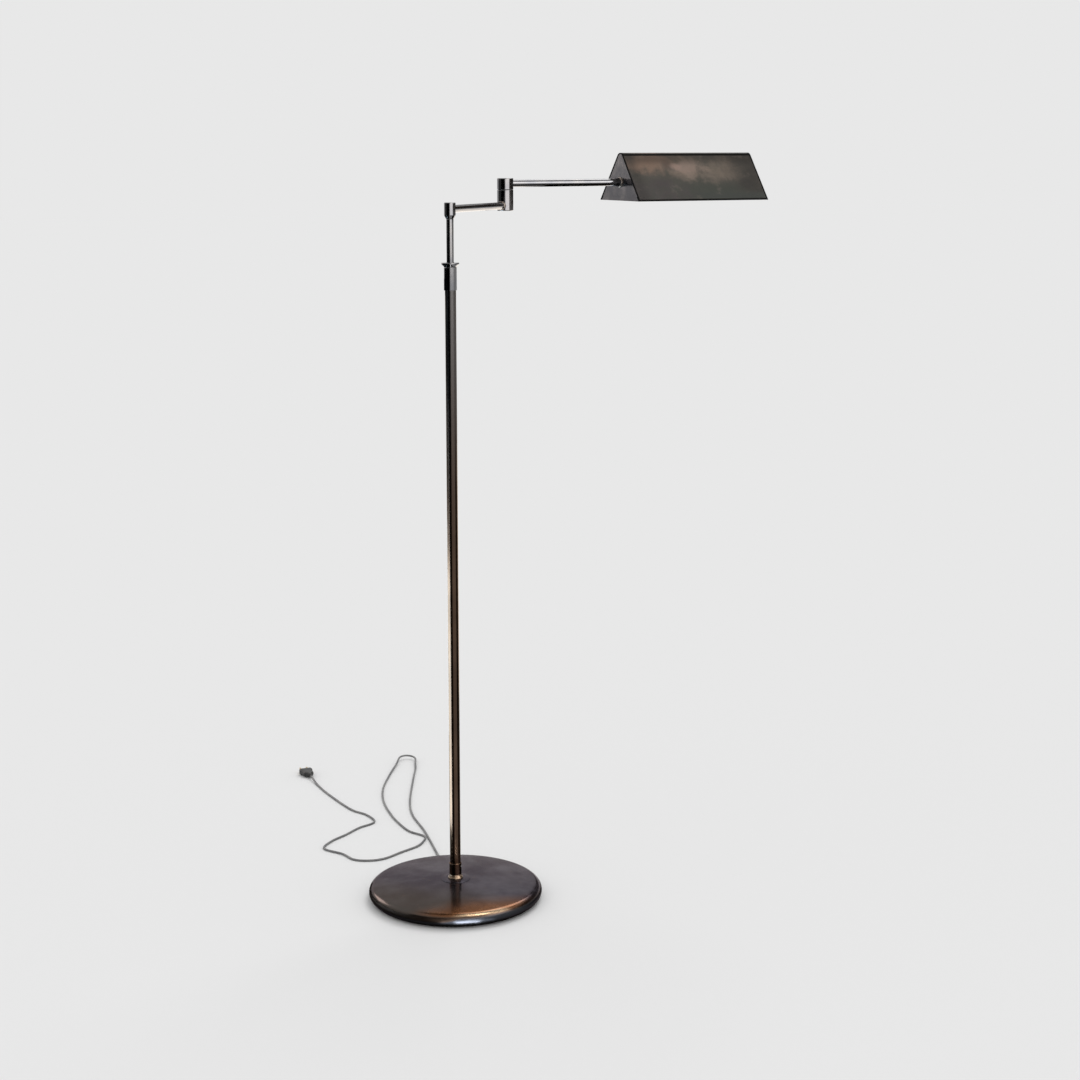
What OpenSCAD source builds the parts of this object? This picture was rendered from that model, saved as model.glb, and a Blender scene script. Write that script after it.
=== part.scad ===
// Bridge floor lamp: a round weighted base, a telescoping pole, two swivel arms and a tent shade.
// Origin: on the floor, on the pole's axis. +Z is up and +X runs along the second arm to the shade.

/* [Base] */
// Outside diameter of the base
base_d = 280; // [220:1:340]
// Height of the base's rounded rim above the floor
rim_top = 24; // [20:1:30]
// Gap under the rim that the felt stands in
rim_lift = 1; // [0.5:0.1:2]
// Rise of the domed top above the rim
dome_rise = 8; // [5:0.5:14]
// Sheet thickness of the spun cover
cover_wall = 1.5; // [1:0.1:2]
// Width of the cover's rolled lip under the base
lip_w = 6; // [3:0.5:12]
// Gap around the felt, inside the cover's lip
felt_gap = 1; // [0.3:0.1:3]
// Thickness of the iron weight
weight_h = 14; // [9:0.5:16]
// Diameter of the weight's central boss
boss_d = 48; // [42:1:70]
// Height of the nut's recess in the weight
recess_h = 19; // [18:0.5:20]
// Diameter of the nut's recess in the weight
recess_d = 34; // [32:0.5:36]
// Width of the cord's channel under the weight
channel_w = 9; // [8:0.5:14]

/* [Foot] */
// Outside diameter of the threaded nipple
nipple_d = 10; // [8:0.5:12]
// Bore of the threaded nipple
nipple_bore = 5; // [4:0.5:6]
// Length of nipple left free below its nut
nipple_tail = 1; // [0.5:0.5:1.5]
// Length of nipple that stands out of the ferrule's floor, inside the pole
nipple_head = 3; // [1:0.5:8]
// Diameter of the nipple's washer
washer_d = 30; // [22:1:31]
// Thickness of the nipple's washer
washer_h = 1.5; // [1:0.1:2]
// Width across the flats of the nipple's nut
nut_af = 17; // [15:0.5:19]
// Height of the nipple's nut
nut_h = 5; // [3:0.5:5]
// Diameter of the thin escutcheon disc
escutcheon_d = 48; // [34:1:60]
// Thickness of the escutcheon disc
escutcheon_h = 1.2; // [0.8:0.1:2]
// Outside diameter of the rounded foot ring
foot_ring_d = 22.4; // [20:0.1:30]
// Height of the rounded foot ring
foot_ring_h = 6.8; // [5:0.1:8]
// Wall of the pole's ferrule outside the pole
ferrule_wall = 1.2; // [0.8:0.1:2.5]
// Height of the pole's ferrule
ferrule_h = 19; // [15:0.5:30]
// Thickness of the ferrule's floor, which the nipple screws into
ferrule_floor = 5; // [3:0.5:7]
// Bevel at the ferrule's top edge
ferrule_bevel = 0.6; // [0.2:0.1:0.7]
// Diameter of the ferrule's grub screw
grub_d = 4; // [3:0.1:5]
// How far the grub screw's end stands out of the ferrule
grub_out = 0.4; // [0.2:0.1:1]
// Drop of the grub screw's axis below the ferrule's top
grub_drop = 6; // [4:0.5:8]
// Direction that the grub screw faces, seen from above
grub_turn = -40; // [-180:5:180]

/* [Pole] */
// Outside diameter of the pole
pole_d = 17.2; // [16.6:0.1:22]
// Wall of the pole's tube
pole_wall = 1.2; // [0.8:0.1:1.4]
// Height above the floor of the collar's lower end
collar_z = 980; // [700:1:1100]

/* [Collar] */
// Wall of the collar outside the pole
collar_wall = 1.3; // [0.8:0.1:2.5]
// Height of the collar
collar_h = 35; // [28:1:50]
// Length of pole inside the collar
collar_lap = 19; // [12:1:24]
// Thickness of the web that closes the collar's top
collar_web = 2; // [1:0.5:3]
// Outside diameter of the flared flange on the collar
flange_d = 27.4; // [24:0.1:32]
// Height of the flared flange
flange_h = 7; // [5:0.5:10]
// Height of the flange's straight rim
flange_rim = 2.4; // [1:0.1:3.5]
// Length of the guide bush inside the pole
bush_drop = 25; // [15:1:40]

/* [Riser] */
// Outside diameter of the riser tube
riser_d = 11.2; // [10.8:0.1:12]
// Wall of the riser tube
riser_wall = 1.1; // [0.8:0.1:1.2]
// Free height of riser between the flange and the shoulder
riser_show = 65.4; // [61:0.1:120]
// How far the riser can be pulled up out of the pole
riser_up = 190; // [100:5:260]
// Length of the brass stop on the riser's lower end
stop_h = 12; // [8:1:20]
// Gap left between the stop and the guide bush when the riser is pulled up
stop_spare = 2; // [1:0.5:6]

/* [Shoulder] */
// Outside diameter of the shoulder knuckle
shoulder_d = 17.6; // [17:0.1:19]
// Height of the shoulder knuckle
shoulder_h = 24.4; // [24:0.1:28]
// Height of the taper at the shoulder knuckle's lower end
shoulder_taper = 5; // [3:0.5:7]
// Height of the first arm's axis above the shoulder knuckle's lower end
shoulder_arm_up = 14.6; // [14.2:0.1:15.4]
// Diameter of the shoulder's swivel stud
shoulder_stud_d = 7; // [6:0.1:7.4]
// Bore of the shoulder's swivel stud
shoulder_stud_bore = 4; // [3:0.1:4.4]
// Length of the stud inside the riser
stud_lap = 16; // [10:1:24]
// Diameter of the shoulder's nut recess
shoulder_recess_d = 11.6; // [11.4:0.1:12]
// Height of the shoulder's nut recess above the knuckle's lower end
shoulder_recess_up = 17; // [16.4:0.1:17.4]
// Thickness of the cap that closes the shoulder
shoulder_cap_h = 2.4; // [1.5:0.1:2.7]
// Wall between the first arm's pocket and the shoulder's nut recess
shoulder_pocket_wall = 0.9; // [0.7:0.1:1.1]
// Thickness of the nylon washer under the shoulder knuckle
shoulder_washer_h = 0.6; // [0.4:0.1:1]
// Bevel at the shoulder knuckle's edges
shoulder_bevel = 0.6; // [0.3:0.1:1]
// Width across the flats of the shoulder's nut
shoulder_nut_af = 9; // [8.8:0.1:9.4]
// Height of the shoulder's nut
shoulder_nut_h = 3.5; // [2.5:0.1:3.6]

/* [Arms] */
// Outside diameter of both arm tubes
arm_d = 11.8; // [11:0.1:12]
// Wall of both arm tubes
arm_wall = 1.2; // [0.9:0.1:1.4]
// Length of the first arm from the pole's axis to the elbow's axis
arm_1_len = 196; // [150:1:260]
// Angle of the first arm from the second, seen from above
arm_1_turn = 38; // [-60:1:90]
// Length of the second arm from the elbow's axis to the shade's end plate
arm_2_len = 212; // [190:1:280]
// Height of the second arm's axis above the first arm's
arm_step = 35; // [34.4:0.1:38]
// Length of the first arm's end ring
arm_ring_l = 3.6; // [2:0.1:6]
// Wall of the first arm's end ring outside the tube
arm_ring_wall = 0.9; // [0.5:0.1:2]

/* [Elbow] */
// Outside diameter of the elbow's two housings
elbow_d = 26; // [25.4:0.1:30]
// Drop of the lower housing's end below the first arm's axis
elbow_drop = 8.2; // [7:0.1:14]
// Drop of the seam between the two housings below the second arm's axis
elbow_seam_drop = 9.7; // [9.2:0.1:11]
// Height of the upper housing's top above the second arm's axis
elbow_top_up = 8.3; // [8.2:0.1:12]
// Bevel at the ends of the elbow's housings
elbow_bevel = 0.8; // [0.3:0.1:1.5]
// Wall between an arm's pocket and a housing's inner space
pocket_wall = 1.3; // [1:0.1:1.6]
// Depth of an arm's pocket at its middle
pocket_depth = 3.8; // [3:0.1:4]
// Diameter of the elbow's stud
elbow_stud_d = 8; // [7:0.1:8.4]
// Bore of the elbow's stud
elbow_stud_bore = 4.4; // [3.5:0.1:5]
// Diameter of the elbow stud's head
elbow_head_d = 13; // [11:0.1:14]
// Height of the elbow stud's head
elbow_head_h = 3; // [2:0.1:4]
// Thickness of the web in the lower housing that the stud stands in
elbow_web = 10; // [6:0.5:11]
// Thickness of the web in the upper housing that turns on the stud
elbow_upper_web = 5; // [4:0.1:5.4]
// Thickness of the nylon washer in the elbow's seam
elbow_washer_h = 0.5; // [0.4:0.1:0.8]
// Thickness of the steel washer under the elbow's nut
lock_washer_h = 0.8; // [0.5:0.1:1]
// Width across the flats of the elbow's and the shade's nuts
stud_nut_af = 11; // [10:0.1:12]
// Height of the elbow's nut
elbow_nut_h = 4.5; // [3:0.1:4.6]
// Thickness of the discs that close the elbow's two ends
elbow_cap_h = 2.4; // [1.5:0.1:3]

/* [Shade joint] */
// Length of the second arm's flared end collar
end_collar_l = 7; // [6:0.1:10]
// Diameter of the flared end collar at its wide end
end_collar_d = 14.8; // [13.8:0.1:18]
// Thickness of the end collar's web, which the shade's stud passes through
end_web = 2; // [1.5:0.1:3]
// Diameter of the ring between the arm and the shade
shade_ring_d = 16; // [14:0.1:20]
// Thickness of the ring between the arm and the shade
shade_ring_h = 2; // [1:0.1:3]
// Length of the shade stud's head inside the arm's tube
shade_head_l = 7; // [5:0.5:12]
// Diameter of the friction washer inside the shade
shade_washer_d = 14; // [13:0.1:18]
// Thickness of the friction washer inside the shade
shade_washer_h = 0.8; // [0.5:0.1:1.5]
// Height of the nut inside the shade
shade_nut_h = 4; // [3:0.1:5]
// Length of stud past the shade's nut
stud_tail = 2.4; // [1:0.1:3]

/* [Shade] */
// Length of the shade along the arm
shade_l = 251; // [240:1:320]
// Width of the shade at its open bottom
shade_w = 130; // [120:1:160]
// Height of the shade to where its two slopes would meet
shade_h = 84; // [80:1:110]
// Outside radius of the fold along the ridge
fold_r = 10; // [6:0.5:12]
// Sheet thickness of the shade
sheet_wall = 1.2; // [0.8:0.1:1.5]
// Height of the folded hem along both lower edges
hem_h = 7; // [4:0.5:12]
// Thickness of the shade's end plates
plate_wall = 1.5; // [1:0.1:2]
// How far the end plates sit inside the sheet's ends
plate_inset = 0.8; // [0:0.1:1]
// Height of the arm's axis above the shade's lower edge
axis_up = 30; // [28:0.5:32]

/* [Lamp holder] */
// Height of the bulb's axis above the shade's lower edge
bulb_up = 34; // [32:0.5:36]
// Width of the steel strip that the bracket is bent from
bracket_w = 20; // [16:1:24]
// Thickness of the bracket's strip
bracket_wall = 1.5; // [1:0.1:2]
// Height of the bracket's top above the shade's lower edge
bracket_top = 60; // [58:0.5:62]
// Height of the bracket's foot on the end plate
bracket_foot = 16; // [10:0.5:17]
// Distance from the end plate's face to the bracket's hanging leg
bracket_reach = 22; // [20:0.5:30]
// Depth of the bracket's leg below the bulb's axis
bracket_leg = 12; // [11:0.5:16]
// Length of the holder's threaded nipple on the arm's side of the leg
holder_thread = 6; // [5.5:0.1:8]
// Length of the holder's threaded nipple inside the holder
holder_thread_in = 4; // [3:0.1:6]
// Width across the flats of the holder's lock nut
holder_nut_af = 14; // [13:0.5:17]
// Height of the holder's lock nut
holder_nut_h = 4.5; // [3:0.1:5]
// Diameter of the holder's domed back cap
holder_cap_d = 30; // [26:0.5:33]
// Length of the holder's back cap
holder_cap_l = 14; // [10:0.5:16]
// Wall of the holder's back cap
holder_wall = 3; // [2:0.5:4]
// Bevel at the back cap's closed end
holder_bevel = 4; // [2:0.5:6]
// Diameter of the holder's body
holder_d = 34; // [33:0.5:36]
// Length of the holder's body
holder_l = 36; // [35:0.5:44]
// Depth of the holder's socket
socket_l = 26.5; // [20:0.5:27]
// Clear gap between the socket and the bulb's cap
socket_gap = 0.9; // [0.4:0.1:1.2]

/* [Bulb] */
// Diameter of the bulb's screw cap
bulb_cap_d = 26; // [24:0.5:27]
// Length of the bulb's screw cap
bulb_cap_l = 26; // [24:0.5:28]
// Height of the contact on the cap's end
contact_h = 1.6; // [1:0.1:2.5]
// Radius of the contact on the cap's end
contact_r = 5; // [4:0.5:6]
// Length of the cap's tapered end
cap_taper = 5; // [3:0.5:7]
// Depth of the glass inside the cap
glass_lap = 6; // [4:0.5:8]
// Diameter of the tubular glass
glass_d = 30; // [28.5:0.5:32]
// Length of the glass in front of the cap
glass_l = 112; // [80:1:125]
// Thickness of the glass
glass_wall = 1; // [0.6:0.1:1.5]
// Length of the glass's shoulder
glass_shoulder = 10; // [6:1:16]

/* [Switch] */
// Diameter of the switch key's stem
key_stem_d = 4; // [3:0.1:5]
// Depth of the stem inside the holder
key_stem_in = 5; // [3:0.5:6]
// Length of stem that shows below the holder
key_stem_out = 6; // [4:0.5:7]
// Width of the key's flat thumb piece
key_w = 12; // [9:0.5:14]
// Height of the key's flat thumb piece
key_h = 8; // [6:0.5:8.5]
// Thickness of the key's flat thumb piece
key_wall = 3; // [2:0.1:4]
// Distance from the holder's back end to the key's axis
key_in = 4.6; // [3.5:0.1:5]

/* [Cord] */
// Diameter of the round cord
cord_d = 3.6; // [3:0.1:4]
// Direction in which the cord leaves the base, seen from above
cord_turn = 74; // [60:1:90]
// Height above the floor of the cord's hole in the base
cord_hole_z = 8.5; // [8:0.1:10]
// Diameter of the bushing's body in the cover's wall
bushing_d = 8.4; // [7:0.1:9]
// Diameter of the bushing's outer flange
bushing_flange_d = 11; // [10.5:0.1:13]
// Thickness of the bushing's outer flange
bushing_flange_h = 2; // [1:0.1:3]
// Length of the bushing inside the cover
bushing_in = 3; // [2:0.1:4]
// Wall of the bushing's nose around the cord, at its tip
nose_wall = 0.8; // [0.5:0.1:1.5]
// Length of the bushing's tapered nose
bushing_nose = 18; // [12:0.5:26]

/* [Plug] */
// Width of the plug's body
plug_w = 25; // [22:0.5:30]
// Thickness of the plug's body
plug_h = 12; // [10:0.5:16]
// Length of the plug's body
plug_l = 28; // [22:0.5:36]
// Length of the plug's narrow neck at the cord
plug_neck_l = 10; // [6:0.5:16]
// Width of the plug's narrow neck
plug_neck_w = 8; // [6:0.5:12]
// Distance between the plug's two blades
blade_gap = 12.7; // [12.7:0.1:12.7]
// Length of a blade outside the plug
blade_l = 16; // [15:0.5:18]
// Height of a blade
blade_w = 6.4; // [6.2:0.1:6.6]
// Thickness of a blade
blade_wall = 1.5; // [1.4:0.1:1.6]

/* [Fits] */
// Radial clearance of a shaft or tube in its bore
fit_gap = 0.05; // [0.03:0.01:0.08]
// Gap between faces that turn or slide past each other
run_gap = 0.1; // [0.05:0.01:0.15]
// Gap that keeps loose pieces of different bodies apart
clear_gap = 0.3; // [0.2:0.05:0.4]

/* [Hidden] */
$fn = 72;
eps = 0.01;

// Colours
dark_bronze = [0.25, 0.22, 0.22];
gunmetal = [0.20, 0.20, 0.22];
patina = [0.33, 0.30, 0.27];
brass = [0.72, 0.60, 0.40];
steel = [0.62, 0.63, 0.65];
iron = [0.26, 0.26, 0.27];
nylon = [0.86, 0.85, 0.80];
black = [0.08, 0.08, 0.08];
cord_grey = [0.30, 0.30, 0.31];

// Base: the edge is a half round, and the dome is a sphere tangent to it
edge_r = (rim_top - rim_lift) / 2;
edge_x = base_d / 2 - edge_r;
edge_z = rim_lift + edge_r;
base_top = rim_top + dome_rise;
dome_up = base_top - edge_z;
dome_r = (dome_up * dome_up + edge_x * edge_x - edge_r * edge_r) / (2 * (dome_up - edge_r));
dome_z = base_top - dome_r;
dome_fn = 720;
weight_z = rim_lift + cover_wall;
weight_inset = 0.5;
weight_r = edge_x - weight_inset;
boss_top = dome_z + sqrt(pow(dome_r - cover_wall, 2) - pow(boss_d / 2, 2)) - run_gap;
recess_z = weight_z + recess_h;
felt_r = edge_x - lip_w - felt_gap;

// Foot: every piece stands on the one below
washer_z = recess_z - washer_h;
nut_z = washer_z - nut_h;
nipple_z = nut_z - nipple_tail;
ring_z = base_top + escutcheon_h;
ferrule_z = ring_z + foot_ring_h;
pole_z = ferrule_z + ferrule_floor;
ferrule_r = pole_d / 2 + ferrule_wall;
nipple_top = pole_z + nipple_head;
grub_z = ferrule_z + ferrule_h - grub_drop;

// Collar and riser
pole_top = collar_z + collar_lap;
collar_r = pole_d / 2 + collar_wall;
collar_top = collar_z + collar_h;
flange_top = collar_top + flange_h;
pole_bore = pole_d - 2 * pole_wall;
bush_z = pole_top - bush_drop;
riser_top = flange_top + riser_show;
riser_bore = riser_d - 2 * riser_wall;
stop_top = bush_z - riser_up - stop_spare;
riser_z = stop_top - stop_h;

// Shoulder
thread_out = 0.4;
shoulder_z = riser_top + shoulder_washer_h + run_gap;
arm_1_z = shoulder_z + shoulder_arm_up;
shoulder_floor = shoulder_recess_d / 2 + shoulder_pocket_wall;
shoulder_stud_top = shoulder_z + shoulder_recess_up + clear_gap + shoulder_nut_h + thread_out;

// Elbow
arm_2_z = arm_1_z + arm_step;
elbow_x = arm_1_len * cos(arm_1_turn);
elbow_y = arm_1_len * sin(arm_1_turn);
pocket_floor = elbow_d / 2 - pocket_depth;
elbow_space_r = pocket_floor - pocket_wall;
elbow_z = arm_1_z - elbow_drop;
seam_z = arm_2_z - elbow_seam_drop;
lower_top = seam_z - run_gap - elbow_washer_h;
web_z = lower_top - elbow_web;
elbow_top = arm_2_z + elbow_top_up;
upper_floor = seam_z + elbow_upper_web;
lock_z = upper_floor + run_gap;
elbow_nut_z = lock_z + lock_washer_h;
elbow_stud_top = elbow_nut_z + elbow_nut_h + thread_out;
cap_seat = 0.05;

// Shade joint: distances along the arm from the elbow's axis
plate_x = arm_2_len;
ring_x = plate_x - shade_ring_h;
collar_end_x = ring_x - clear_gap;
collar_x = collar_end_x - end_collar_l;
web_x = collar_end_x - end_web;
washer_x = plate_x + plate_wall;
shade_nut_x = washer_x + shade_washer_h + clear_gap;
stud_end_x = shade_nut_x + shade_nut_h + stud_tail;
arm_bore = arm_d - 2 * arm_wall;
collar_edge = 0.4;

// Shade section: two slopes with a round fold between them
slope = atan(shade_w / 2 / shade_h);
fold_z = shade_h - fold_r / sin(slope);
sheet_x = plate_x - plate_inset;
far_plate_x = sheet_x + shade_l - plate_inset - plate_wall;
shade_z = arm_2_z - axis_up;
plate_gap = 0.1;
hem_start = plate_inset + plate_wall + 1;

// Lamp: distances along the arm from the elbow's axis
leg_x = plate_x + bracket_reach;
holder_x = leg_x + bracket_wall;
body_x = holder_x + holder_cap_l;
socket_x = body_x + holder_l - socket_l;
bulb_x = socket_x + contact_h + clear_gap;
glass_x = bulb_x + bulb_cap_l;
bulb_z = shade_z + bulb_up;
key_x = body_x + key_in;
cap_gap = 0.1;
cap_wall = 1;

// Lead: the mains cord's inner run, from the bushing to below the shoulder
lead_bend = 6;
lead_top = pole_top + 10;
tube_lead_drop = arm_bore / 2 - cord_d / 2 - run_gap;

// Cord route on the floor, from the base's bushing to the plug
cord_r = cord_d / 2;
bushing_end = base_d / 2 + bushing_flange_h + bushing_nose;
plug_turn = 86;
plug_start = [14, 683, plug_h / 2];
plug_dir = [cos(plug_turn), sin(plug_turn), 0];
exit_dir = [cos(cord_turn), sin(cord_turn), 0];
exit_point = bushing_end * exit_dir + [0, 0, cord_hole_z];
CORD_MIDDLE = [
    [50, 176, 4.6], [57, 200, 2.1], [83, 306, 1.9], [100, 397, 1.9], [130, 476, 1.9],
    [188, 591, 1.9], [216, 644, 1.9], [227, 669, 1.9], [240, 701, 1.9], [231, 716, 1.9],
    [214, 714, 1.9], [193, 684, 1.9], [154, 629, 1.9], [111, 559, 1.9], [82, 487, 1.9],
    [66, 417, 1.9], [60, 370, 1.9], [59, 319, 1.9], [72, 283, 1.9], [60, 260, 1.9],
    [39, 241, 1.9], [3, 227, 1.9], [-33, 212, 1.9], [-61, 214, 1.9], [-83, 231, 1.9],
    [-90, 266, 1.9], [-108, 305, 1.9], [-83, 334, 1.9], [-48, 354, 1.9], [-13, 377, 1.9],
    [23, 393, 1.9], [26, 435, 1.9], [12, 479, 1.9], [8, 578, 1.9], [10, 636, 2], [12, 660, 3.6]
];
CORD_POINTS = concat(
    [exit_point, exit_point + cord_d * exit_dir],
    CORD_MIDDLE,
    [plug_start - 2 * cord_d * plug_dir, plug_start]
);
cord_rings = 80;
cord_sides = 8;

// ---- Shared shapes ----

module tube(d, bore, length) {
    difference() {
        cylinder(d = d, h = length);
        translate([0, 0, -1])
            cylinder(d = bore, h = length + 2);
    }
}

module hex_nut(af, bore, height) {
    difference() {
        cylinder(d = af / cos(30), h = height, $fn = 6);
        translate([0, 0, -1])
            cylinder(d = bore, h = height + 2);
    }
}

// Turns a shape's +Z to +X
module along_x() {
    rotate([0, 90, 0])
        children();
}

module on_arm_1() {
    rotate([0, 0, arm_1_turn])
        translate([0, 0, arm_1_z])
            children();
}

module at_elbow() {
    translate([elbow_x, elbow_y, 0])
        children();
}

module on_arm_2() {
    translate([elbow_x, elbow_y, arm_2_z])
        children();
}

// Places a shape on the bulb's axis, at a distance from the elbow's axis
module on_bulb_axis(x) {
    translate([elbow_x + x, elbow_y, bulb_z])
        along_x()
            children();
}

// ---- Base ----

// Half section of the base, drawn in from its surface by an inset
module base_outline(inset) {
    tangent_x = edge_x * (dome_r - inset) / (dome_r - edge_r);
    translate([edge_x, edge_z])
        circle(r = edge_r - inset);
    translate([0, rim_lift + inset])
        square([edge_x, edge_r - inset + eps]);
    intersection() {
        translate([0, dome_z])
            circle(r = dome_r - inset, $fn = dome_fn);
        translate([0, edge_z])
            square([tangent_x, dome_up]);
    }
}

module cord_hole(d) {
    rotate([0, 0, cord_turn])
        translate([edge_x, 0, cord_hole_z])
            along_x()
                cylinder(d = d, h = edge_r + 2);
}

module base_cover() {
    color(dark_bronze)
    difference() {
        rotate_extrude($fn = 180)
            difference() {
                base_outline(0);
                base_outline(cover_wall);
                square([edge_x - lip_w, rim_lift + cover_wall + 1]);
                square([nipple_d / 2 + fit_gap, base_top + 1]);
            }
        cord_hole(bushing_d + 2 * fit_gap);
    }
}

module base_weight() {
    color(iron)
    difference() {
        union() {
            translate([0, 0, weight_z])
                cylinder(r = weight_r, h = weight_h, $fn = 180);
            translate([0, 0, weight_z])
                cylinder(d = boss_d, h = boss_top - weight_z);
        }
        cylinder(d = nipple_d + 2 * fit_gap, h = base_top);
        translate([0, 0, weight_z - 1])
            cylinder(d = recess_d, h = recess_h + 1);
        rotate([0, 0, cord_turn])
            translate([0, -channel_w / 2, 0])
                cube([base_d, channel_w, cord_hole_z + channel_w / 2]);
    }
}

module base_felt() {
    color(black)
    cylinder(r = felt_r, h = weight_z, $fn = 180);
}

// ---- Foot ----

module base_nipple() {
    color(steel)
    translate([0, 0, nipple_z])
        tube(nipple_d, nipple_bore, nipple_top - nipple_z);
}

module base_washer() {
    color(steel)
    translate([0, 0, washer_z])
        tube(washer_d, nipple_d + 2 * fit_gap, washer_h);
}

module base_nut() {
    color(steel)
    translate([0, 0, nut_z])
        hex_nut(nut_af, nipple_d + 2 * fit_gap, nut_h);
}

module foot_escutcheon() {
    color(gunmetal)
    translate([0, 0, base_top])
        rotate_extrude()
            polygon([
                [nipple_d / 2 + fit_gap, 0],
                [escutcheon_d / 2, 0],
                [escutcheon_d / 2, escutcheon_h / 3],
                [escutcheon_d / 2 - escutcheon_h, escutcheon_h],
                [nipple_d / 2 + fit_gap, escutcheon_h]
            ]);
}

module foot_ring() {
    round_r = foot_ring_h / 2;
    color(brass)
    translate([0, 0, ring_z])
        rotate_extrude()
            difference() {
                union() {
                    translate([foot_ring_d / 2 - round_r, round_r])
                        circle(r = round_r);
                    square([foot_ring_d / 2 - round_r, foot_ring_h]);
                }
                square([nipple_d / 2 + fit_gap, foot_ring_h]);
            }
}

module grub_space(d, length) {
    rotate([0, 0, grub_turn])
        translate([pole_d / 2 + run_gap, 0, grub_z])
            along_x()
                cylinder(d = d, h = length);
}

module pole_ferrule() {
    color(dark_bronze)
    difference() {
        translate([0, 0, ferrule_z])
            rotate_extrude()
                polygon([
                    [nipple_d / 2 + fit_gap, 0],
                    [ferrule_r, 0],
                    [ferrule_r, ferrule_h - ferrule_bevel],
                    [ferrule_r - ferrule_bevel, ferrule_h],
                    [pole_d / 2 + fit_gap, ferrule_h],
                    [pole_d / 2 + fit_gap, ferrule_floor],
                    [nipple_d / 2 + fit_gap, ferrule_floor]
                ]);
        grub_space(grub_d + 2 * fit_gap, ferrule_wall + 2);
    }
}

module ferrule_screw() {
    color(steel)
    grub_space(grub_d, ferrule_wall - run_gap + grub_out);
}

// ---- Pole ----

module pole_tube() {
    color(dark_bronze)
    translate([0, 0, pole_z])
        tube(pole_d, pole_bore, pole_top - pole_z);
}

module pole_collar() {
    color(gunmetal)
    translate([0, 0, collar_z])
        rotate_extrude()
            polygon([
                [pole_d / 2 + fit_gap, 0],
                [collar_r, 0],
                [collar_r, collar_h],
                [riser_d / 2 + clear_gap, collar_h],
                [riser_d / 2 + clear_gap, collar_h - collar_web],
                [pole_d / 2 + fit_gap, collar_h - collar_web]
            ]);
}

module collar_flange() {
    color(gunmetal)
    translate([0, 0, collar_top])
        rotate_extrude()
            polygon([
                [riser_d / 2 + clear_gap, 0],
                [collar_r, 0],
                [flange_d / 2, flange_h - flange_rim],
                [flange_d / 2, flange_h],
                [riser_d / 2 + clear_gap + 1, flange_h],
                [riser_d / 2 + clear_gap, flange_h - 1]
            ]);
}

module guide_bush() {
    color(nylon)
    difference() {
        union() {
            translate([0, 0, bush_z])
                cylinder(d = pole_bore - 2 * fit_gap, h = pole_top - bush_z);
            translate([0, 0, pole_top])
                cylinder(d = pole_d, h = collar_top - collar_web - pole_top);
        }
        translate([0, 0, bush_z - 1])
            cylinder(d = riser_d + 2 * fit_gap, h = collar_top - bush_z);
    }
}

module inner_lead() {
    bend_lap = 3;
    bend_swell = 0.1;
    color(black)
    union() {
        rotate([0, 0, cord_turn])
            translate([lead_bend, 0, cord_hole_z])
                along_x()
                    cylinder(d = cord_d, h = edge_x - lead_bend - 1, $fn = 24);
        rotate([90, 0, cord_turn])
            translate([lead_bend, cord_hole_z + lead_bend, 0])
                rotate([0, 0, 180 - bend_lap])
                    rotate_extrude(angle = 90 + 2 * bend_lap, $fn = 48)
                        translate([lead_bend, 0])
                            circle(d = cord_d + 2 * bend_swell, $fn = 24);
        translate([0, 0, cord_hole_z + lead_bend])
            cylinder(d = cord_d, h = lead_top - cord_hole_z - lead_bend, $fn = 24);
    }
}

// ---- Riser ----

module riser_tube() {
    color(gunmetal)
    translate([0, 0, riser_z])
        tube(riser_d, riser_bore, riser_top - riser_z);
}

module riser_stop() {
    color(brass)
    translate([0, 0, riser_z])
        tube(pole_bore - 2 * run_gap, riser_d + 2 * fit_gap, stop_h);
}

module shoulder_stud() {
    color(steel)
    translate([0, 0, riser_top - stud_lap])
        difference() {
            union() {
                cylinder(d = riser_bore - 2 * fit_gap, h = stud_lap);
                cylinder(d = shoulder_stud_d, h = shoulder_stud_top - riser_top + stud_lap);
            }
            translate([0, 0, -1])
                cylinder(d = shoulder_stud_bore, h = shoulder_stud_top);
        }
}

module shoulder_washer() {
    color(nylon)
    translate([0, 0, riser_top])
        tube(riser_d, shoulder_stud_d + 2 * fit_gap, shoulder_washer_h);
}

module shoulder_nut() {
    color(steel)
    translate([0, 0, shoulder_z + shoulder_recess_up + clear_gap])
        hex_nut(shoulder_nut_af, shoulder_stud_d + 2 * fit_gap, shoulder_nut_h);
}

// ---- First arm ----

module shoulder_knuckle() {
    color(gunmetal)
    difference() {
        translate([0, 0, shoulder_z])
            rotate_extrude()
                polygon([
                    [shoulder_stud_d / 2 + fit_gap, 0],
                    [riser_d / 2 + shoulder_bevel, 0],
                    [shoulder_d / 2, shoulder_taper],
                    [shoulder_d / 2, shoulder_h - shoulder_bevel],
                    [shoulder_d / 2 - shoulder_bevel, shoulder_h],
                    [shoulder_recess_d / 2, shoulder_h],
                    [shoulder_recess_d / 2, shoulder_recess_up],
                    [shoulder_stud_d / 2 + fit_gap, shoulder_recess_up]
                ]);
        on_arm_1()
            translate([shoulder_floor, 0, 0])
                along_x()
                    cylinder(d = arm_d + 2 * fit_gap, h = shoulder_d);
    }
}

module shoulder_cap() {
    color(gunmetal)
    translate([0, 0, shoulder_z + shoulder_h - shoulder_cap_h])
        cylinder(d = shoulder_recess_d - 2 * cap_seat, h = shoulder_cap_h);
}

module arm_1_tube() {
    start = shoulder_floor + run_gap;
    finish = arm_1_len - pocket_floor - run_gap;
    color(gunmetal)
    on_arm_1()
        translate([start, 0, 0])
            along_x()
                tube(arm_d, arm_bore, finish - start);
}

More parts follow.
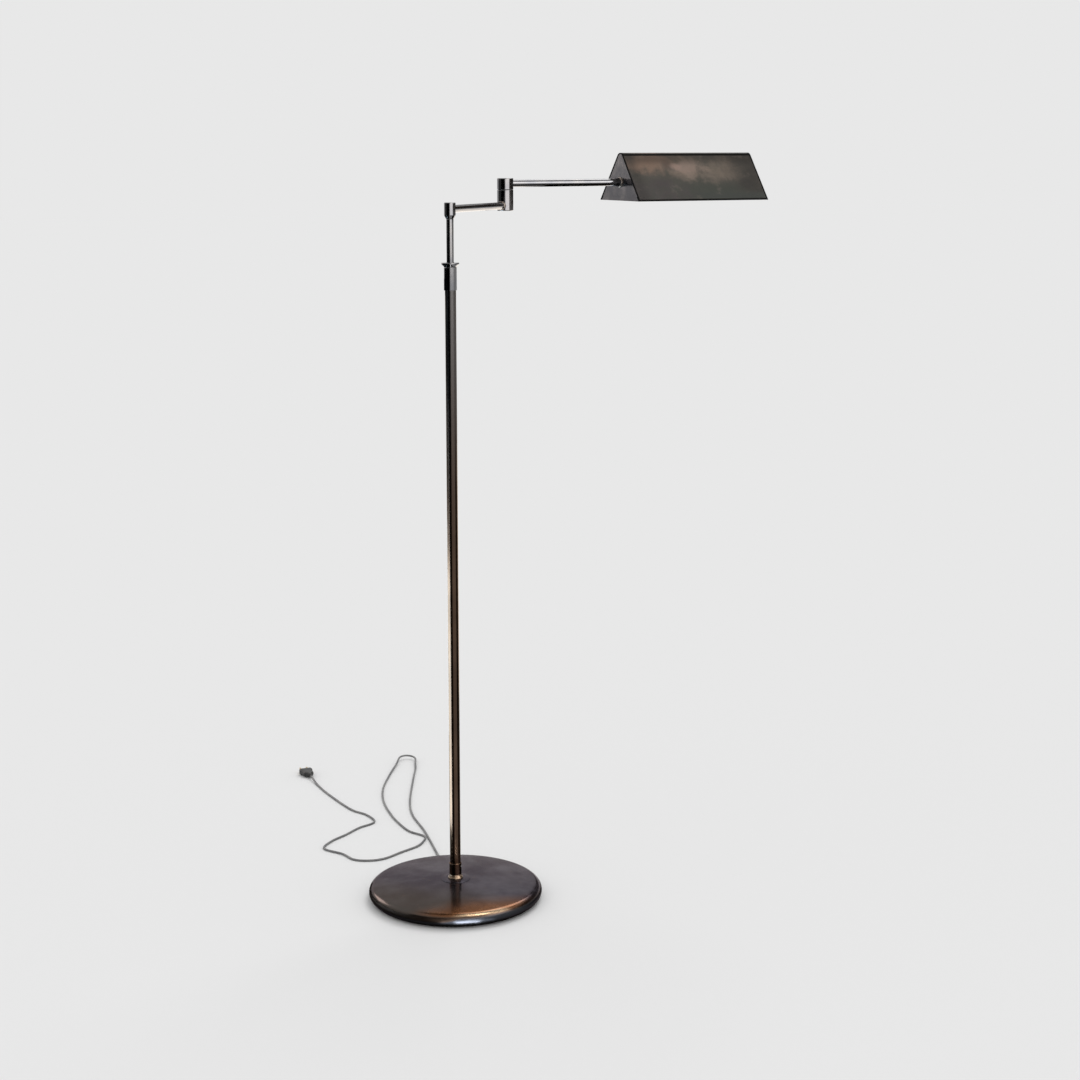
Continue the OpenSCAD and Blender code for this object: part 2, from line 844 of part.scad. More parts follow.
module arm_1_lead() {
    color(black)
    on_arm_1()
        translate([shoulder_d, 0, -tube_lead_drop])
            along_x()
                cylinder(d = cord_d, h = arm_1_len - shoulder_d - elbow_d, $fn = 24);
}

module arm_1_ring() {
    color(brass)
    difference() {
        on_arm_1()
            translate([arm_1_len - elbow_d / 2 - arm_ring_l, 0, 0])
                along_x()
                    tube(arm_d + 2 * arm_ring_wall, arm_d + 2 * fit_gap, 2 * arm_ring_l);
        at_elbow()
            translate([0, 0, arm_1_z - arm_d])
                cylinder(d = elbow_d + 2 * fit_gap, h = 2 * arm_d);
    }
}

// ---- Elbow ----

module elbow_lower() {
    height = lower_top - elbow_z;
    color(gunmetal)
    difference() {
        at_elbow()
            translate([0, 0, elbow_z])
                rotate_extrude()
                    polygon([
                        [elbow_space_r, 0],
                        [elbow_d / 2 - elbow_bevel, 0],
                        [elbow_d / 2, elbow_bevel],
                        [elbow_d / 2, height],
                        [elbow_stud_d / 2 + fit_gap, height],
                        [elbow_stud_d / 2 + fit_gap, height - elbow_web],
                        [elbow_space_r, height - elbow_web]
                    ]);
        on_arm_1()
            translate([arm_1_len - elbow_d, 0, 0])
                along_x()
                    cylinder(d = arm_d + 2 * fit_gap, h = elbow_d - pocket_floor);
        on_arm_1()
            translate([arm_1_len - elbow_d, 0, 0])
                along_x()
                    cylinder(d = arm_bore / 2, h = elbow_d - elbow_space_r / 2);
    }
}

module elbow_plug() {
    color(gunmetal)
    at_elbow()
        translate([0, 0, elbow_z])
            cylinder(r = elbow_space_r - cap_seat, h = elbow_cap_h);
}

module elbow_stud() {
    color(steel)
    at_elbow()
        difference() {
            union() {
                translate([0, 0, web_z - elbow_head_h])
                    cylinder(d = elbow_head_d, h = elbow_head_h);
                translate([0, 0, web_z - elbow_head_h])
                    cylinder(d = elbow_stud_d, h = elbow_stud_top - web_z + elbow_head_h);
            }
            translate([0, 0, web_z - elbow_head_h - 1])
                cylinder(d = elbow_stud_bore, h = elbow_top - web_z + elbow_head_h);
        }
}

module elbow_washer() {
    color(nylon)
    at_elbow()
        translate([0, 0, lower_top])
            tube(elbow_d - 2 * elbow_bevel, elbow_stud_d + 2 * fit_gap, elbow_washer_h);
}

module elbow_lock_washer() {
    color(steel)
    at_elbow()
        translate([0, 0, lock_z])
            tube(elbow_head_d, elbow_stud_d + 2 * fit_gap, lock_washer_h);
}

module elbow_nut() {
    color(steel)
    at_elbow()
        translate([0, 0, elbow_nut_z])
            hex_nut(stud_nut_af, elbow_stud_d + 2 * fit_gap, elbow_nut_h);
}

module elbow_upper() {
    height = elbow_top - seam_z;
    color(gunmetal)
    difference() {
        at_elbow()
            translate([0, 0, seam_z])
                rotate_extrude()
                    polygon([
                        [elbow_stud_d / 2 + fit_gap, 0],
                        [elbow_d / 2, 0],
                        [elbow_d / 2, height - elbow_bevel],
                        [elbow_d / 2 - elbow_bevel, height],
                        [elbow_space_r, height],
                        [elbow_space_r, elbow_upper_web],
                        [elbow_stud_d / 2 + fit_gap, elbow_upper_web]
                    ]);
        on_arm_2()
            translate([pocket_floor, 0, 0])
                along_x()
                    cylinder(d = arm_d + 2 * fit_gap, h = elbow_d);
        on_arm_2()
            translate([elbow_space_r / 2, 0, 0])
                along_x()
                    cylinder(d = arm_bore / 2, h = elbow_d);
    }
}

module elbow_cap() {
    color(gunmetal)
    at_elbow()
        translate([0, 0, elbow_top - elbow_cap_h])
            cylinder(r = elbow_space_r - cap_seat, h = elbow_cap_h);
}

// ---- Second arm ----

module arm_2_tube() {
    start = pocket_floor + run_gap;
    color(gunmetal)
    on_arm_2()
        translate([start, 0, 0])
            along_x()
                tube(arm_d, arm_bore, web_x - run_gap - start);
}

module arm_2_lead() {
    color(black)
    on_arm_2()
        translate([elbow_d, 0, -tube_lead_drop])
            along_x()
                cylinder(d = cord_d, h = web_x - shade_head_l - 2 * elbow_d, $fn = 24);
}

module arm_2_collar() {
    color(gunmetal)
    on_arm_2()
        translate([collar_x, 0, 0])
            along_x()
                rotate_extrude()
                    polygon([
                        [arm_d / 2 + fit_gap, 0],
                        [arm_d / 2 + 2 * collar_edge, 0],
                        [end_collar_d / 2, end_collar_l - collar_edge],
                        [end_collar_d / 2 - collar_edge, end_collar_l],
                        [elbow_stud_d / 2 + fit_gap, end_collar_l],
                        [elbow_stud_d / 2 + fit_gap, end_collar_l - end_web],
                        [arm_d / 2 + fit_gap, end_collar_l - end_web]
                    ]);
}

module shade_stud() {
    color(steel)
    on_arm_2()
        translate([web_x - run_gap - shade_head_l, 0, 0])
            along_x()
                difference() {
                    union() {
                        cylinder(d = arm_bore - 2 * fit_gap, h = shade_head_l);
                        cylinder(d = elbow_stud_d, h = stud_end_x - web_x + shade_head_l);
                    }
                    translate([0, 0, -1])
                        cylinder(d = elbow_stud_bore, h = arm_2_len);
                }
}

module shade_nut() {
    color(steel)
    on_arm_2()
        translate([shade_nut_x, 0, 0])
            along_x()
                hex_nut(stud_nut_af, elbow_stud_d + 2 * fit_gap, shade_nut_h);
}

// ---- Shade ----

// Half width of the section at a height, drawn in by an inset
function tent_half(z, inset) = (shade_h - inset / sin(slope) - z) * tan(slope);

// Tent section drawn in from its surface by an inset; its foot reaches down to a height
module tent_outline(inset, foot) {
    r = fold_r - inset;
    translate([0, fold_z])
        circle(r = r);
    polygon([
        [-tent_half(foot, inset), foot],
        [tent_half(foot, inset), foot],
        [r * cos(slope), fold_z + r * sin(slope)],
        [-r * cos(slope), fold_z + r * sin(slope)]
    ]);
}

// Extrudes a section along +X from a distance to the elbow's axis
module tent_run(x, length) {
    translate([elbow_x + x, elbow_y, shade_z])
        rotate([90, 0, 90])
            linear_extrude(length)
                children();
}

module shade_sheet() {
    color(patina)
    union() {
        tent_run(sheet_x, shade_l)
            difference() {
                tent_outline(0, 0);
                tent_outline(sheet_wall, -1);
            }
        tent_run(sheet_x + hem_start, shade_l - 2 * hem_start)
            intersection() {
                difference() {
                    tent_outline(sheet_wall - eps, 0);
                    tent_outline(2 * sheet_wall, -1);
                }
                translate([-shade_w / 2, 0])
                    square([shade_w, hem_h]);
            }
    }
}

module shade_end_inner() {
    color(patina)
    difference() {
        tent_run(plate_x, plate_wall)
            tent_outline(sheet_wall + plate_gap, 0);
        on_arm_2()
            translate([plate_x - 1, 0, 0])
                along_x()
                    cylinder(d = elbow_stud_d + 2 * fit_gap, h = plate_wall + 2);
    }
}

module shade_end_outer() {
    color(patina)
    tent_run(far_plate_x, plate_wall)
        tent_outline(sheet_wall + plate_gap, 0);
}

module shade_ring() {
    color(brass)
    on_arm_2()
        translate([ring_x, 0, 0])
            along_x()
                tube(shade_ring_d, elbow_stud_d + 2 * fit_gap, shade_ring_h);
}

module shade_washer() {
    color(nylon)
    on_arm_2()
        translate([washer_x, 0, 0])
            along_x()
                tube(shade_washer_d, elbow_stud_d + 2 * fit_gap, shade_washer_h);
}

// ---- Lamp holder and bulb ----

module bracket_bar(x, z, length, height) {
    translate([elbow_x + x, elbow_y - bracket_w / 2, shade_z + z])
        cube([length, bracket_w, height]);
}

module lamp_bracket() {
    foot_x = plate_x + plate_wall;
    leg_low = bulb_up - bracket_leg;
    color(steel)
    difference() {
        union() {
            bracket_bar(foot_x, bracket_top - bracket_foot, bracket_wall, bracket_foot);
            bracket_bar(foot_x, bracket_top - bracket_wall, holder_x - foot_x, bracket_wall);
            bracket_bar(leg_x, leg_low, bracket_wall, bracket_top - leg_low);
        }
        on_bulb_axis(leg_x - 1)
            cylinder(d = nipple_d + 2 * fit_gap, h = bracket_wall + 2);
    }
}

module holder_nipple() {
    color(steel)
    on_bulb_axis(leg_x - holder_thread)
        tube(nipple_d, nipple_bore, holder_thread + bracket_wall + holder_thread_in);
}

module holder_nut() {
    color(steel)
    on_bulb_axis(leg_x - holder_nut_h)
        hex_nut(holder_nut_af, nipple_d + 2 * fit_gap, holder_nut_h);
}

module holder_cap() {
    color(black)
    on_bulb_axis(holder_x)
        rotate_extrude()
            polygon([
                [nipple_d / 2 + fit_gap, 0],
                [holder_cap_d / 2 - holder_bevel, 0],
                [holder_cap_d / 2, holder_bevel],
                [holder_cap_d / 2, holder_cap_l],
                [holder_cap_d / 2 - holder_wall, holder_cap_l],
                [holder_cap_d / 2 - holder_wall, holder_thread_in + thread_out],
                [nipple_d / 2 + fit_gap, holder_thread_in + thread_out]
            ]);
}

module holder_body() {
    color(black)
    difference() {
        on_bulb_axis(body_x)
            difference() {
                cylinder(d = holder_d, h = holder_l);
                translate([0, 0, holder_l - socket_l])
                    cylinder(d = bulb_cap_d + 2 * socket_gap, h = socket_l + 1);
            }
        translate([elbow_x + key_x, elbow_y, bulb_z - holder_d / 2 - 1])
            cylinder(d = key_stem_d + 2 * fit_gap, h = key_stem_in + 1 + run_gap);
    }
}

module bulb_cap() {
    cap_r = bulb_cap_d / 2;
    color(steel)
    on_bulb_axis(bulb_x)
        rotate_extrude()
            polygon([
                [0, -contact_h],
                [contact_r, -contact_h],
                [contact_r, 0],
                [cap_r - cap_wall, cap_taper],
                [cap_r, cap_taper + cap_wall],
                [cap_r, bulb_cap_l],
                [cap_r - cap_wall, bulb_cap_l],
                [cap_r - cap_wall, bulb_cap_l - glass_lap - clear_gap],
                [0, bulb_cap_l - glass_lap - clear_gap]
            ]);
}

// Half section of the glass, drawn in from its surface by an inset, open at the cap's end
module glass_outline(inset) {
    neck_r = bulb_cap_d / 2 - cap_wall - cap_gap - inset;
    tip_r = glass_d / 2 - inset;
    tip_z = glass_l - glass_d / 2;
    polygon([
        [0, -glass_lap - inset],
        [neck_r, -glass_lap - inset],
        [neck_r, cap_wall],
        [tip_r, glass_shoulder],
        [tip_r, tip_z],
        [0, tip_z]
    ]);
    intersection() {
        translate([0, tip_z])
            circle(r = tip_r);
        translate([0, tip_z - eps])
            square([glass_d, glass_d]);
    }
}

module bulb_glass() {
    color([0.95, 0.94, 0.90])
    on_bulb_axis(glass_x)
        rotate_extrude()
            difference() {
                glass_outline(0);
                glass_outline(glass_wall);
            }
}

module switch_key() {
    stem = key_stem_in + key_stem_out;
    color(black)
    translate([elbow_x + key_x, elbow_y, bulb_z - holder_d / 2 - key_stem_out])
        union() {
            cylinder(d = key_stem_d, h = stem, $fn = 32);
            translate([-key_w / 2, -key_wall / 2, -key_h + eps])
                cube([key_w, key_wall, key_h]);
        }
}

// ---- Cord ----

// Places a shape on the axis on which the cord leaves the base, at a distance from the pole's axis
module on_cord_axis(x) {
    rotate([0, 0, cord_turn])
        translate([x, 0, cord_hole_z])
            along_x()
                children();
}

// The flange's back is cut to the base's round edge, which it bears on
module bushing_flange(finish) {
    start = edge_x + edge_r / 2;
    difference() {
        on_cord_axis(start)
            cylinder(d = bushing_flange_d, h = finish - start);
        rotate_extrude($fn = 180)
            translate([edge_x, edge_z])
                circle(r = edge_r + fit_gap);
    }
}

module cord_bushing() {
    nose_x = base_d / 2 + bushing_flange_h;
    body_start = base_d / 2 - cover_wall - bushing_in;
    color(black)
    difference() {
        union() {
            on_cord_axis(body_start)
                cylinder(d = bushing_d, h = nose_x - body_start);
            bushing_flange(nose_x);
            on_cord_axis(nose_x - eps)
                cylinder(d1 = bushing_d, d2 = cord_d + 2 * nose_wall, h = bushing_nose + eps);
        }
        on_cord_axis(body_start - 1)
            cylinder(d = cord_d + 2 * fit_gap, h = bushing_end, $fn = 24);
    }
}

// Point on a smooth curve through four neighbours
function curve_point(a, b, c, d, t) =
    0.5 * (2 * b + (c - a) * t + (2 * a - 5 * b + 4 * c - d) * t * t + (3 * b - 3 * c + d - a) * t * t * t);

function clamp_index(i, n) = max(0, min(n - 1, i));

// Point of the smoothed route at a place counted in route points
function route_at(route, s) =
    let (n = len(route), i = clamp_index(floor(s), n - 1), t = s - i)
    curve_point(
        route[clamp_index(i - 1, n)], route[i],
        route[clamp_index(i + 1, n)], route[clamp_index(i + 2, n)], t
    );

function unit(v) = v / norm(v);

// Direction of the route at each ring
function ring_dir(rings, i) = unit(rings[min(i + 1, len(rings) - 1)] - rings[max(i - 1, 0)]);

// Corner of one ring: a point around the route's direction
function ring_corner(centre, dir, angle, r) =
    let (side = unit(cross(dir, [0, 0, 1])), up = cross(side, dir))
    centre + r * (cos(angle) * side + sin(angle) * up);

module swept_tube(route, ring_count, sides, r) {
    last = len(route) - 1;
    rings = [for (i = [0 : ring_count - 1]) route_at(route, i * last / (ring_count - 1))];
    points = [
        for (i = [0 : ring_count - 1])
            for (k = [0 : sides - 1])
                ring_corner(rings[i], ring_dir(rings, i), (k + 0.5) * 360 / sides, r)
    ];
    walls = [
        for (i = [0 : ring_count - 2])
            for (k = [0 : sides - 1])
                let (a = i * sides + k, b = i * sides + (k + 1) % sides)
                for (face = [[a, b, b + sides], [a, b + sides, a + sides]]) face
    ];
    start_cap = [for (k = [1 : sides - 2]) [0, k + 1, k]];
    end_first = (ring_count - 1) * sides;
    end_cap = [for (k = [1 : sides - 2]) [end_first, end_first + k, end_first + k + 1]];
    polyhedron(points = points, faces = concat(walls, start_cap, end_cap));
}

module cord() {
    color(cord_grey)
    swept_tube(CORD_POINTS, cord_rings, cord_sides, cord_r);
}

// ---- Plug ----

module at_plug() {
    translate(plug_start)
        rotate([0, 0, plug_turn])
            children();
}

module plug_side(length) {
    corner = plug_h / 4;
    rotate([90, 0, 90])
        linear_extrude(length) {
            square([plug_w - 2 * corner, plug_h], center = true);
            square([plug_w, plug_h - 2 * corner], center = true);
            for (sy = [-1, 1], sz = [-1, 1])
                translate([sy * (plug_w / 2 - corner), sz * (plug_h / 2 - corner)])
                    circle(r = corner, $fn = 32);
        }
}

module plug_body() {
    color(black)
    at_plug() {
        along_x()
            cylinder(d1 = cord_d + 2 * nose_wall, d2 = plug_neck_w, h = plug_neck_l, $fn = 32);
        translate([plug_neck_l - eps, 0, 0])
            plug_side(plug_l);
    }
}

module plug_blades() {
    color(brass)
    at_plug()
        for (side = [-1, 1])
            translate([plug_neck_l + plug_l - eps, side * blade_gap / 2 - blade_wall / 2, -blade_w / 2])
                cube([blade_l, blade_wall, blade_w]);
}

base_cover();
base_weight();
base_felt();
base_nipple();
base_washer();
base_nut();
foot_escutcheon();
foot_ring();
pole_ferrule();
ferrule_screw();
pole_tube();
pole_collar();
collar_flange();
guide_bush();
inner_lead();
cord_bushing();
cord();
plug_body();
plug_blades();
riser_tube();
riser_stop();
shoulder_stud();
shoulder_washer();
shoulder_nut();
shoulder_knuckle();
shoulder_cap();
arm_1_tube();
arm_1_lead();
arm_1_ring();
elbow_lower();
elbow_plug();
elbow_stud();
elbow_washer();
elbow_lock_washer();
elbow_nut();
elbow_upper();
elbow_cap();
arm_2_tube();
arm_2_lead();
arm_2_collar();
shade_stud();
shade_nut();
shade_sheet();
shade_end_inner();
shade_end_outer();
shade_ring();
shade_washer();
lamp_bracket();
holder_nipple();
holder_nut();
holder_cap();
holder_body();
bulb_cap();
bulb_glass();
switch_key();
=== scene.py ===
"""Bridge floor lamp: the finished look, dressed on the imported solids, in metres."""
import math

import bmesh
import bpy
from mathutils import Matrix, Vector


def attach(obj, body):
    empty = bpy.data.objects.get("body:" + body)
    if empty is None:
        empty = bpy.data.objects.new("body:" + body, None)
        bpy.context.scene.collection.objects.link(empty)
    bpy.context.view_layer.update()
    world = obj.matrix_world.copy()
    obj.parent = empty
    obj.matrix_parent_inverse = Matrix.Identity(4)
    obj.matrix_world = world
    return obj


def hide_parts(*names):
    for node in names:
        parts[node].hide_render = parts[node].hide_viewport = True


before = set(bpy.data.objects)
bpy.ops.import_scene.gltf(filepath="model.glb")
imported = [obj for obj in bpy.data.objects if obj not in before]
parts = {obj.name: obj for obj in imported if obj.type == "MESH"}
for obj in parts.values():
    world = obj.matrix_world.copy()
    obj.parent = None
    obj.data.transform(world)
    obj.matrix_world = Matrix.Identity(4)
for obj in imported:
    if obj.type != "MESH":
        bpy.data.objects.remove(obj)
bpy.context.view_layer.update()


# ---- Camera ----
# A long lens about three metres away and a little above the lamp, as the photograph was taken. It
# looks down by eleven degrees, and the second arm runs away to its right.

LOOKS_DOWN, LOOKS_TO = 11.184, 62.451
camera_data = bpy.data.cameras.new("camera")
camera_data.sensor_width = 36.0
camera_data.lens = 66.67
camera_data.clip_end = 60.0
camera = bpy.data.objects.new("camera", camera_data)
camera.location = (-1.3012, -2.7905, 1.1987)
camera.rotation_euler = (math.radians(90 - LOOKS_DOWN), 0.0, math.radians(LOOKS_TO - 90))
bpy.context.scene.collection.objects.link(camera)
bpy.context.scene.camera = camera


# ---- Mains cord ----
# Thin round cord with a smooth grey sheath, which leaves the base at the back, lies on the floor in
# two long loops and ends in a moulded plug. It was pushed through a tapered sleeve in the base's edge.


class Grade:
    """A value that changes over a surface. Sums written on it become Math nodes of its tree."""

    def __init__(self, wiring, socket):
        self.wiring, self.socket = wiring, socket

    def _sum(self, kind, *terms):
        return self.wiring.node("ShaderNodeMath", {"operation": kind}, dict(enumerate(terms)))

    def __add__(self, other):
        return self._sum("ADD", self, other)

    def __sub__(self, other):
        return self._sum("SUBTRACT", self, other)

    def __rsub__(self, other):
        return self._sum("SUBTRACT", other, self)

    def __mul__(self, other):
        return self._sum("MULTIPLY", self, other)

    def __pow__(self, other):
        return self._sum("POWER", self, other)

    __radd__, __rmul__ = __add__, __mul__

    def step(self, low, high):
        """0 at low, 1 at high, and smooth between. Low is the greater of the two where the value falls."""
        ends = {"Value": self, "From Min": low, "From Max": high}
        return self.wiring.node("ShaderNodeMapRange", {"interpolation_type": "SMOOTHSTEP"}, ends)


class Wiring:
    """The nodes of one shader tree."""

    def __init__(self, tree):
        self.tree = tree

    def fill(self, socket, value):
        """Links a socket to what varies, or sets it to a fixed value."""
        if isinstance(value, Grade):
            self.tree.links.new(value.socket, socket)
        elif isinstance(value, tuple) and socket.type == "RGBA" and len(value) == 3:
            socket.default_value = (*value, 1.0)
        else:
            socket.default_value = value

    def node(self, kind, settings, values, output=0):
        """Adds a node, with its settings set first, and gives one of its outputs."""
        made = self.tree.nodes.new(kind)
        for key, value in settings.items():
            setattr(made, key, value)
        for key, value in values.items():
            self.fill(made.inputs[key], value)
        return Grade(self, made.outputs[output])


class Finish(Wiring):
    """A material of one finish: fixed values sit on the shader's sockets, and what varies is linked."""

    def __init__(self, name, **fixed):
        self.material = bpy.data.materials.new(name)
        self.material.use_nodes = True
        super().__init__(self.material.node_tree)
        self.shader = self.tree.nodes["Principled BSDF"]
        self.set(**fixed)

    def set(self, **sockets):
        """Fills the shader's sockets, each named in small letters."""
        for words, value in sockets.items():
            self.fill(self.shader.inputs[words.replace("_", " ").title().replace("Ior", "IOR")], value)

    def place(self, stretch=(1, 1, 1), shift=(0, 0, 0)):
        """Object coordinates, stretched and shifted."""
        at = self.node("ShaderNodeTexCoord", {}, {}, "Object")
        return self.node("ShaderNodeMapping", {}, {"Vector": at, "Scale": stretch, "Location": shift})

    def clouds(self, scale, detail=4, rough=0.55, stretch=(1, 1, 1), shift=(0, 0, 0), warp=0.0):
        """Cloudy noise from 0 to 1, with scale in clouds per metre."""
        return self.node("ShaderNodeTexNoise", {}, {
            "Vector": self.place(stretch, shift), "Scale": scale, "Detail": detail, "Roughness": rough,
            "Distortion": warp})

    def mix(self, amount, first, second):
        """The first colour at 0 and the second at 1. The colours are the node's sockets 6 and 7."""
        return self.node("ShaderNodeMix", {"data_type": "RGBA"}, {0: amount, 6: first, 7: second}, 2)

    def axis(self, index):
        """One of the object's own coordinates."""
        at = self.node("ShaderNodeTexCoord", {}, {}, "Object")
        return self.node("ShaderNodeSeparateXYZ", {}, {"Vector": at}, index)

    def relief(self, height, depth, strength=1.0):
        """Height from 0 to 1, as deep as depth in metres, on the shader's normal."""
        self.set(normal=self.node("ShaderNodeBump", {}, {"Height": height, "Distance": depth, "Strength": strength}))


def wear(piece, finish):
    """Gives a piece its finish."""
    piece.data.materials.clear()
    piece.data.materials.append(finish.material)
    return piece


def made_piece(name, bm, body, smooth_angle=40):
    """A mesh piece from a bmesh, merged, with its faces outwards, riding on a body."""
    bmesh.ops.remove_doubles(bm, verts=bm.verts, dist=1e-6)
    bmesh.ops.recalc_face_normals(bm, faces=bm.faces)
    mesh = bpy.data.meshes.new(name)
    bm.to_mesh(mesh)
    bm.free()
    piece = bpy.data.objects.new(name, mesh)
    bpy.context.scene.collection.objects.link(piece)
    mesh.shade_smooth()
    mesh.set_sharp_from_angle(angle=math.radians(smooth_angle))
    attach(piece, body)
    return piece


CORD_D = 0.0036
CORD_TURN = math.radians(74)
EXIT_REACH, EXIT_Z = 0.160, 0.0085
ROUTE_GAP = 0.005
exit_dir = Vector((math.cos(CORD_TURN), math.sin(CORD_TURN), 0.0))
exit_point = EXIT_REACH * exit_dir + Vector((0, 0, EXIT_Z))
PLUG_TURN = math.radians(86)
plug_dir = Vector((math.cos(PLUG_TURN), math.sin(PLUG_TURN), 0.0))
plug_start = Vector((0.014, 0.683, 0.006))
lie = 0.0019  # the height of its middle line where it lies on the floor
cord_middle = [
    (0.050, 0.176, 0.0046), (0.057, 0.200, 0.0021), (0.083, 0.306, lie), (0.100, 0.397, lie),
    (0.130, 0.476, lie), (0.188, 0.591, lie), (0.216, 0.644, 0.0024), (0.227, 0.669, 0.0036),
    (0.240, 0.701, 0.0054), (0.231, 0.716, 0.0072), (0.214, 0.714, 0.0070), (0.193, 0.684, 0.0042),
    (0.154, 0.629, 0.0022), (0.111, 0.559, lie), (0.082, 0.487, lie), (0.066, 0.417, lie),
    (0.060, 0.370, lie), (0.059, 0.319, lie), (0.072, 0.283, lie), (0.060, 0.260, lie),
    (0.039, 0.241, lie), (0.003, 0.227, lie), (-0.033, 0.212, lie), (-0.061, 0.214, lie),
    (-0.083, 0.231, lie), (-0.090, 0.266, lie), (-0.108, 0.305, lie), (-0.083, 0.334, lie),
    (-0.048, 0.354, lie), (-0.013, 0.377, lie), (0.023, 0.393, lie), (0.026, 0.435, lie),
    (0.012, 0.479, lie), (0.008, 0.578, lie), (0.010, 0.636, 0.0020), (0.012, 0.660, 0.0036),
]
cord_points = [exit_point, exit_point + CORD_D * exit_dir]
cord_points += [Vector(p) for p in cord_middle]
cord_points += [plug_start - 2 * CORD_D * plug_dir, plug_start]


def smooth_route(points, gap):
    """Points about a gap apart on the smooth curve through the given ones."""
    last, steps = len(points) - 1, 24
    line = []
    for i in range(last):
        a, b, c, d = (points[min(max(i + k, 0), last)] for k in (-1, 0, 1, 2))
        for n in range(steps):
            t = n / steps
            line.append(0.5 * (2 * b + (c - a) * t + (2 * a - 5 * b + 4 * c - d) * t ** 2
                               + (3 * b - 3 * c + d - a) * t ** 3))
    line.append(points[last])
    route, walked = [line[0]], 0.0
    for a, b in zip(line, line[1:]):
        walked += (b - a).length
        if walked >= gap:
            route.append(b)
            walked = 0.0
    route[-1] = line[-1]
    return route


class Grower:
    """A Geometry Nodes tree with named inputs, which ends in real geometry that carries a finish."""

    def __init__(self, name, **inputs):
        self.tree = bpy.data.node_groups.new(name, "GeometryNodeTree")
        face = self.tree.interface
        face.new_socket("Geometry", in_out="INPUT", socket_type="NodeSocketGeometry")
        self.names = {label: face.new_socket(label, in_out="INPUT", socket_type="NodeSocket" + kind).identifier
                      for label, kind in (*inputs.items(), ("Finish", "Material"))}
        face.new_socket("Geometry", in_out="OUTPUT", socket_type="NodeSocketGeometry")
        self.entry = self.tree.nodes.new("NodeGroupInput")

    def __getitem__(self, label):
        return self.entry.outputs[label]

    def node(self, kind, values, settings=None):
        """Adds a node, with its settings set first, and gives its first output."""
        made = self.tree.nodes.new(kind)
        for key, value in (settings or {}).items():
            setattr(made, key, value)
        for key, value in values.items():
            if isinstance(value, bpy.types.NodeSocket):
                self.tree.links.new(value, made.inputs[key])
            else:
                made.inputs[key].default_value = value
        return made.outputs[0]

    def end(self, geometry):
        """Closes the tree: real geometry, in the finish."""
        real = self.node("GeometryNodeRealizeInstances", {"Geometry": geometry})
        dressed = self.node("GeometryNodeSetMaterial", {"Geometry": real, "Material": self["Finish"]})
        self.tree.links.new(dressed, self.tree.nodes.new("NodeGroupOutput").inputs[0])

    def grow(self, name, body, finish, place=Matrix(), seed=None, **values):
        """The plain mesh piece that the tree makes of its inputs, moved to its place on a body."""
        holder = bpy.data.objects.new(name + "_seed", seed or bpy.data.meshes.new(name + "_seed"))
        bpy.context.scene.collection.objects.link(holder)
        growth = holder.modifiers.new("growth", "NODES")
        growth.node_group = self.tree
        for label, value in values.items():
            growth[self.names[label.replace("_", " ")]] = value
        growth[self.names["Finish"]] = finish.material
        made = bpy.data.meshes.new_from_object(holder.evaluated_get(bpy.context.evaluated_depsgraph_get()))
        holder.modifiers.remove(growth)
        bpy.data.objects.remove(holder)
        bm = bmesh.new()
        bm.from_mesh(made)
        bm.transform(place)
        return wear(made_piece(name, bm, body), finish)


sheath = Finish("cord sheath, grey", roughness=0.42, specular_ior_level=0.4)
sheath.set(base_color=sheath.mix(
    sheath.clouds(30, 5).step(0.35, 0.7), (0.140, 0.140, 0.145), (0.220, 0.217, 0.213)))
sheath.relief(sheath.clouds(900, 2), 0.00008)

cord_route = smooth_route(cord_points, ROUTE_GAP)
route_mesh = bpy.data.meshes.new("cord_route")
route_mesh.from_pydata(cord_route, [(k, k + 1) for k in range(len(cord_route) - 1)], [])
hose = Grower("round hose along a route", Radius="Float", Sides="Int")
line = hose.node("GeometryNodeMeshToCurve", {"Mesh": hose["Geometry"]})
girth = hose.node("GeometryNodeCurvePrimitiveCircle", {"Resolution": hose["Sides"], "Radius": hose["Radius"]})
hose.end(hose.node("GeometryNodeCurveToMesh", {"Curve": line, "Profile Curve": girth, "Fill Caps": True}))
cord = hose.grow("cord_sheath", "stand", sheath, seed=route_mesh, Radius=CORD_D / 2, Sides=14)


MM = 0.001


def turned(name, outline, start, direction, body, steps=48, smooth_angle=40):
    """A piece turned on a lathe about the axis that leaves start in the direction given. The outline is
    closed and holds pairs of distance along the axis and radius, in millimetres."""
    ahead = Vector(direction).normalized()
    side = ahead.orthogonal().normalized()
    up = ahead.cross(side)
    bm = bmesh.new()
    rings = []
    for along, radius in outline:
        centre = Vector(start) + ahead * along * MM
        rings.append([
            bm.verts.new(centre + radius * MM * (math.cos(2 * math.pi * k / steps) * side
                                                 + math.sin(2 * math.pi * k / steps) * up))
            for k in range(steps if radius else 1)])
    for i, a in enumerate(rings):
        b = rings[(i + 1) % len(rings)]
        for k in range(steps if len(a) + len(b) > 2 else 0):
            n = (k + 1) % steps
            corners = [a[k % len(a)], a[n % len(a)], b[n % len(b)], b[k % len(b)]]
            bm.faces.new([v for c, v in enumerate(corners) if v not in corners[:c]])
    return made_piece(name, bm, body, smooth_angle)


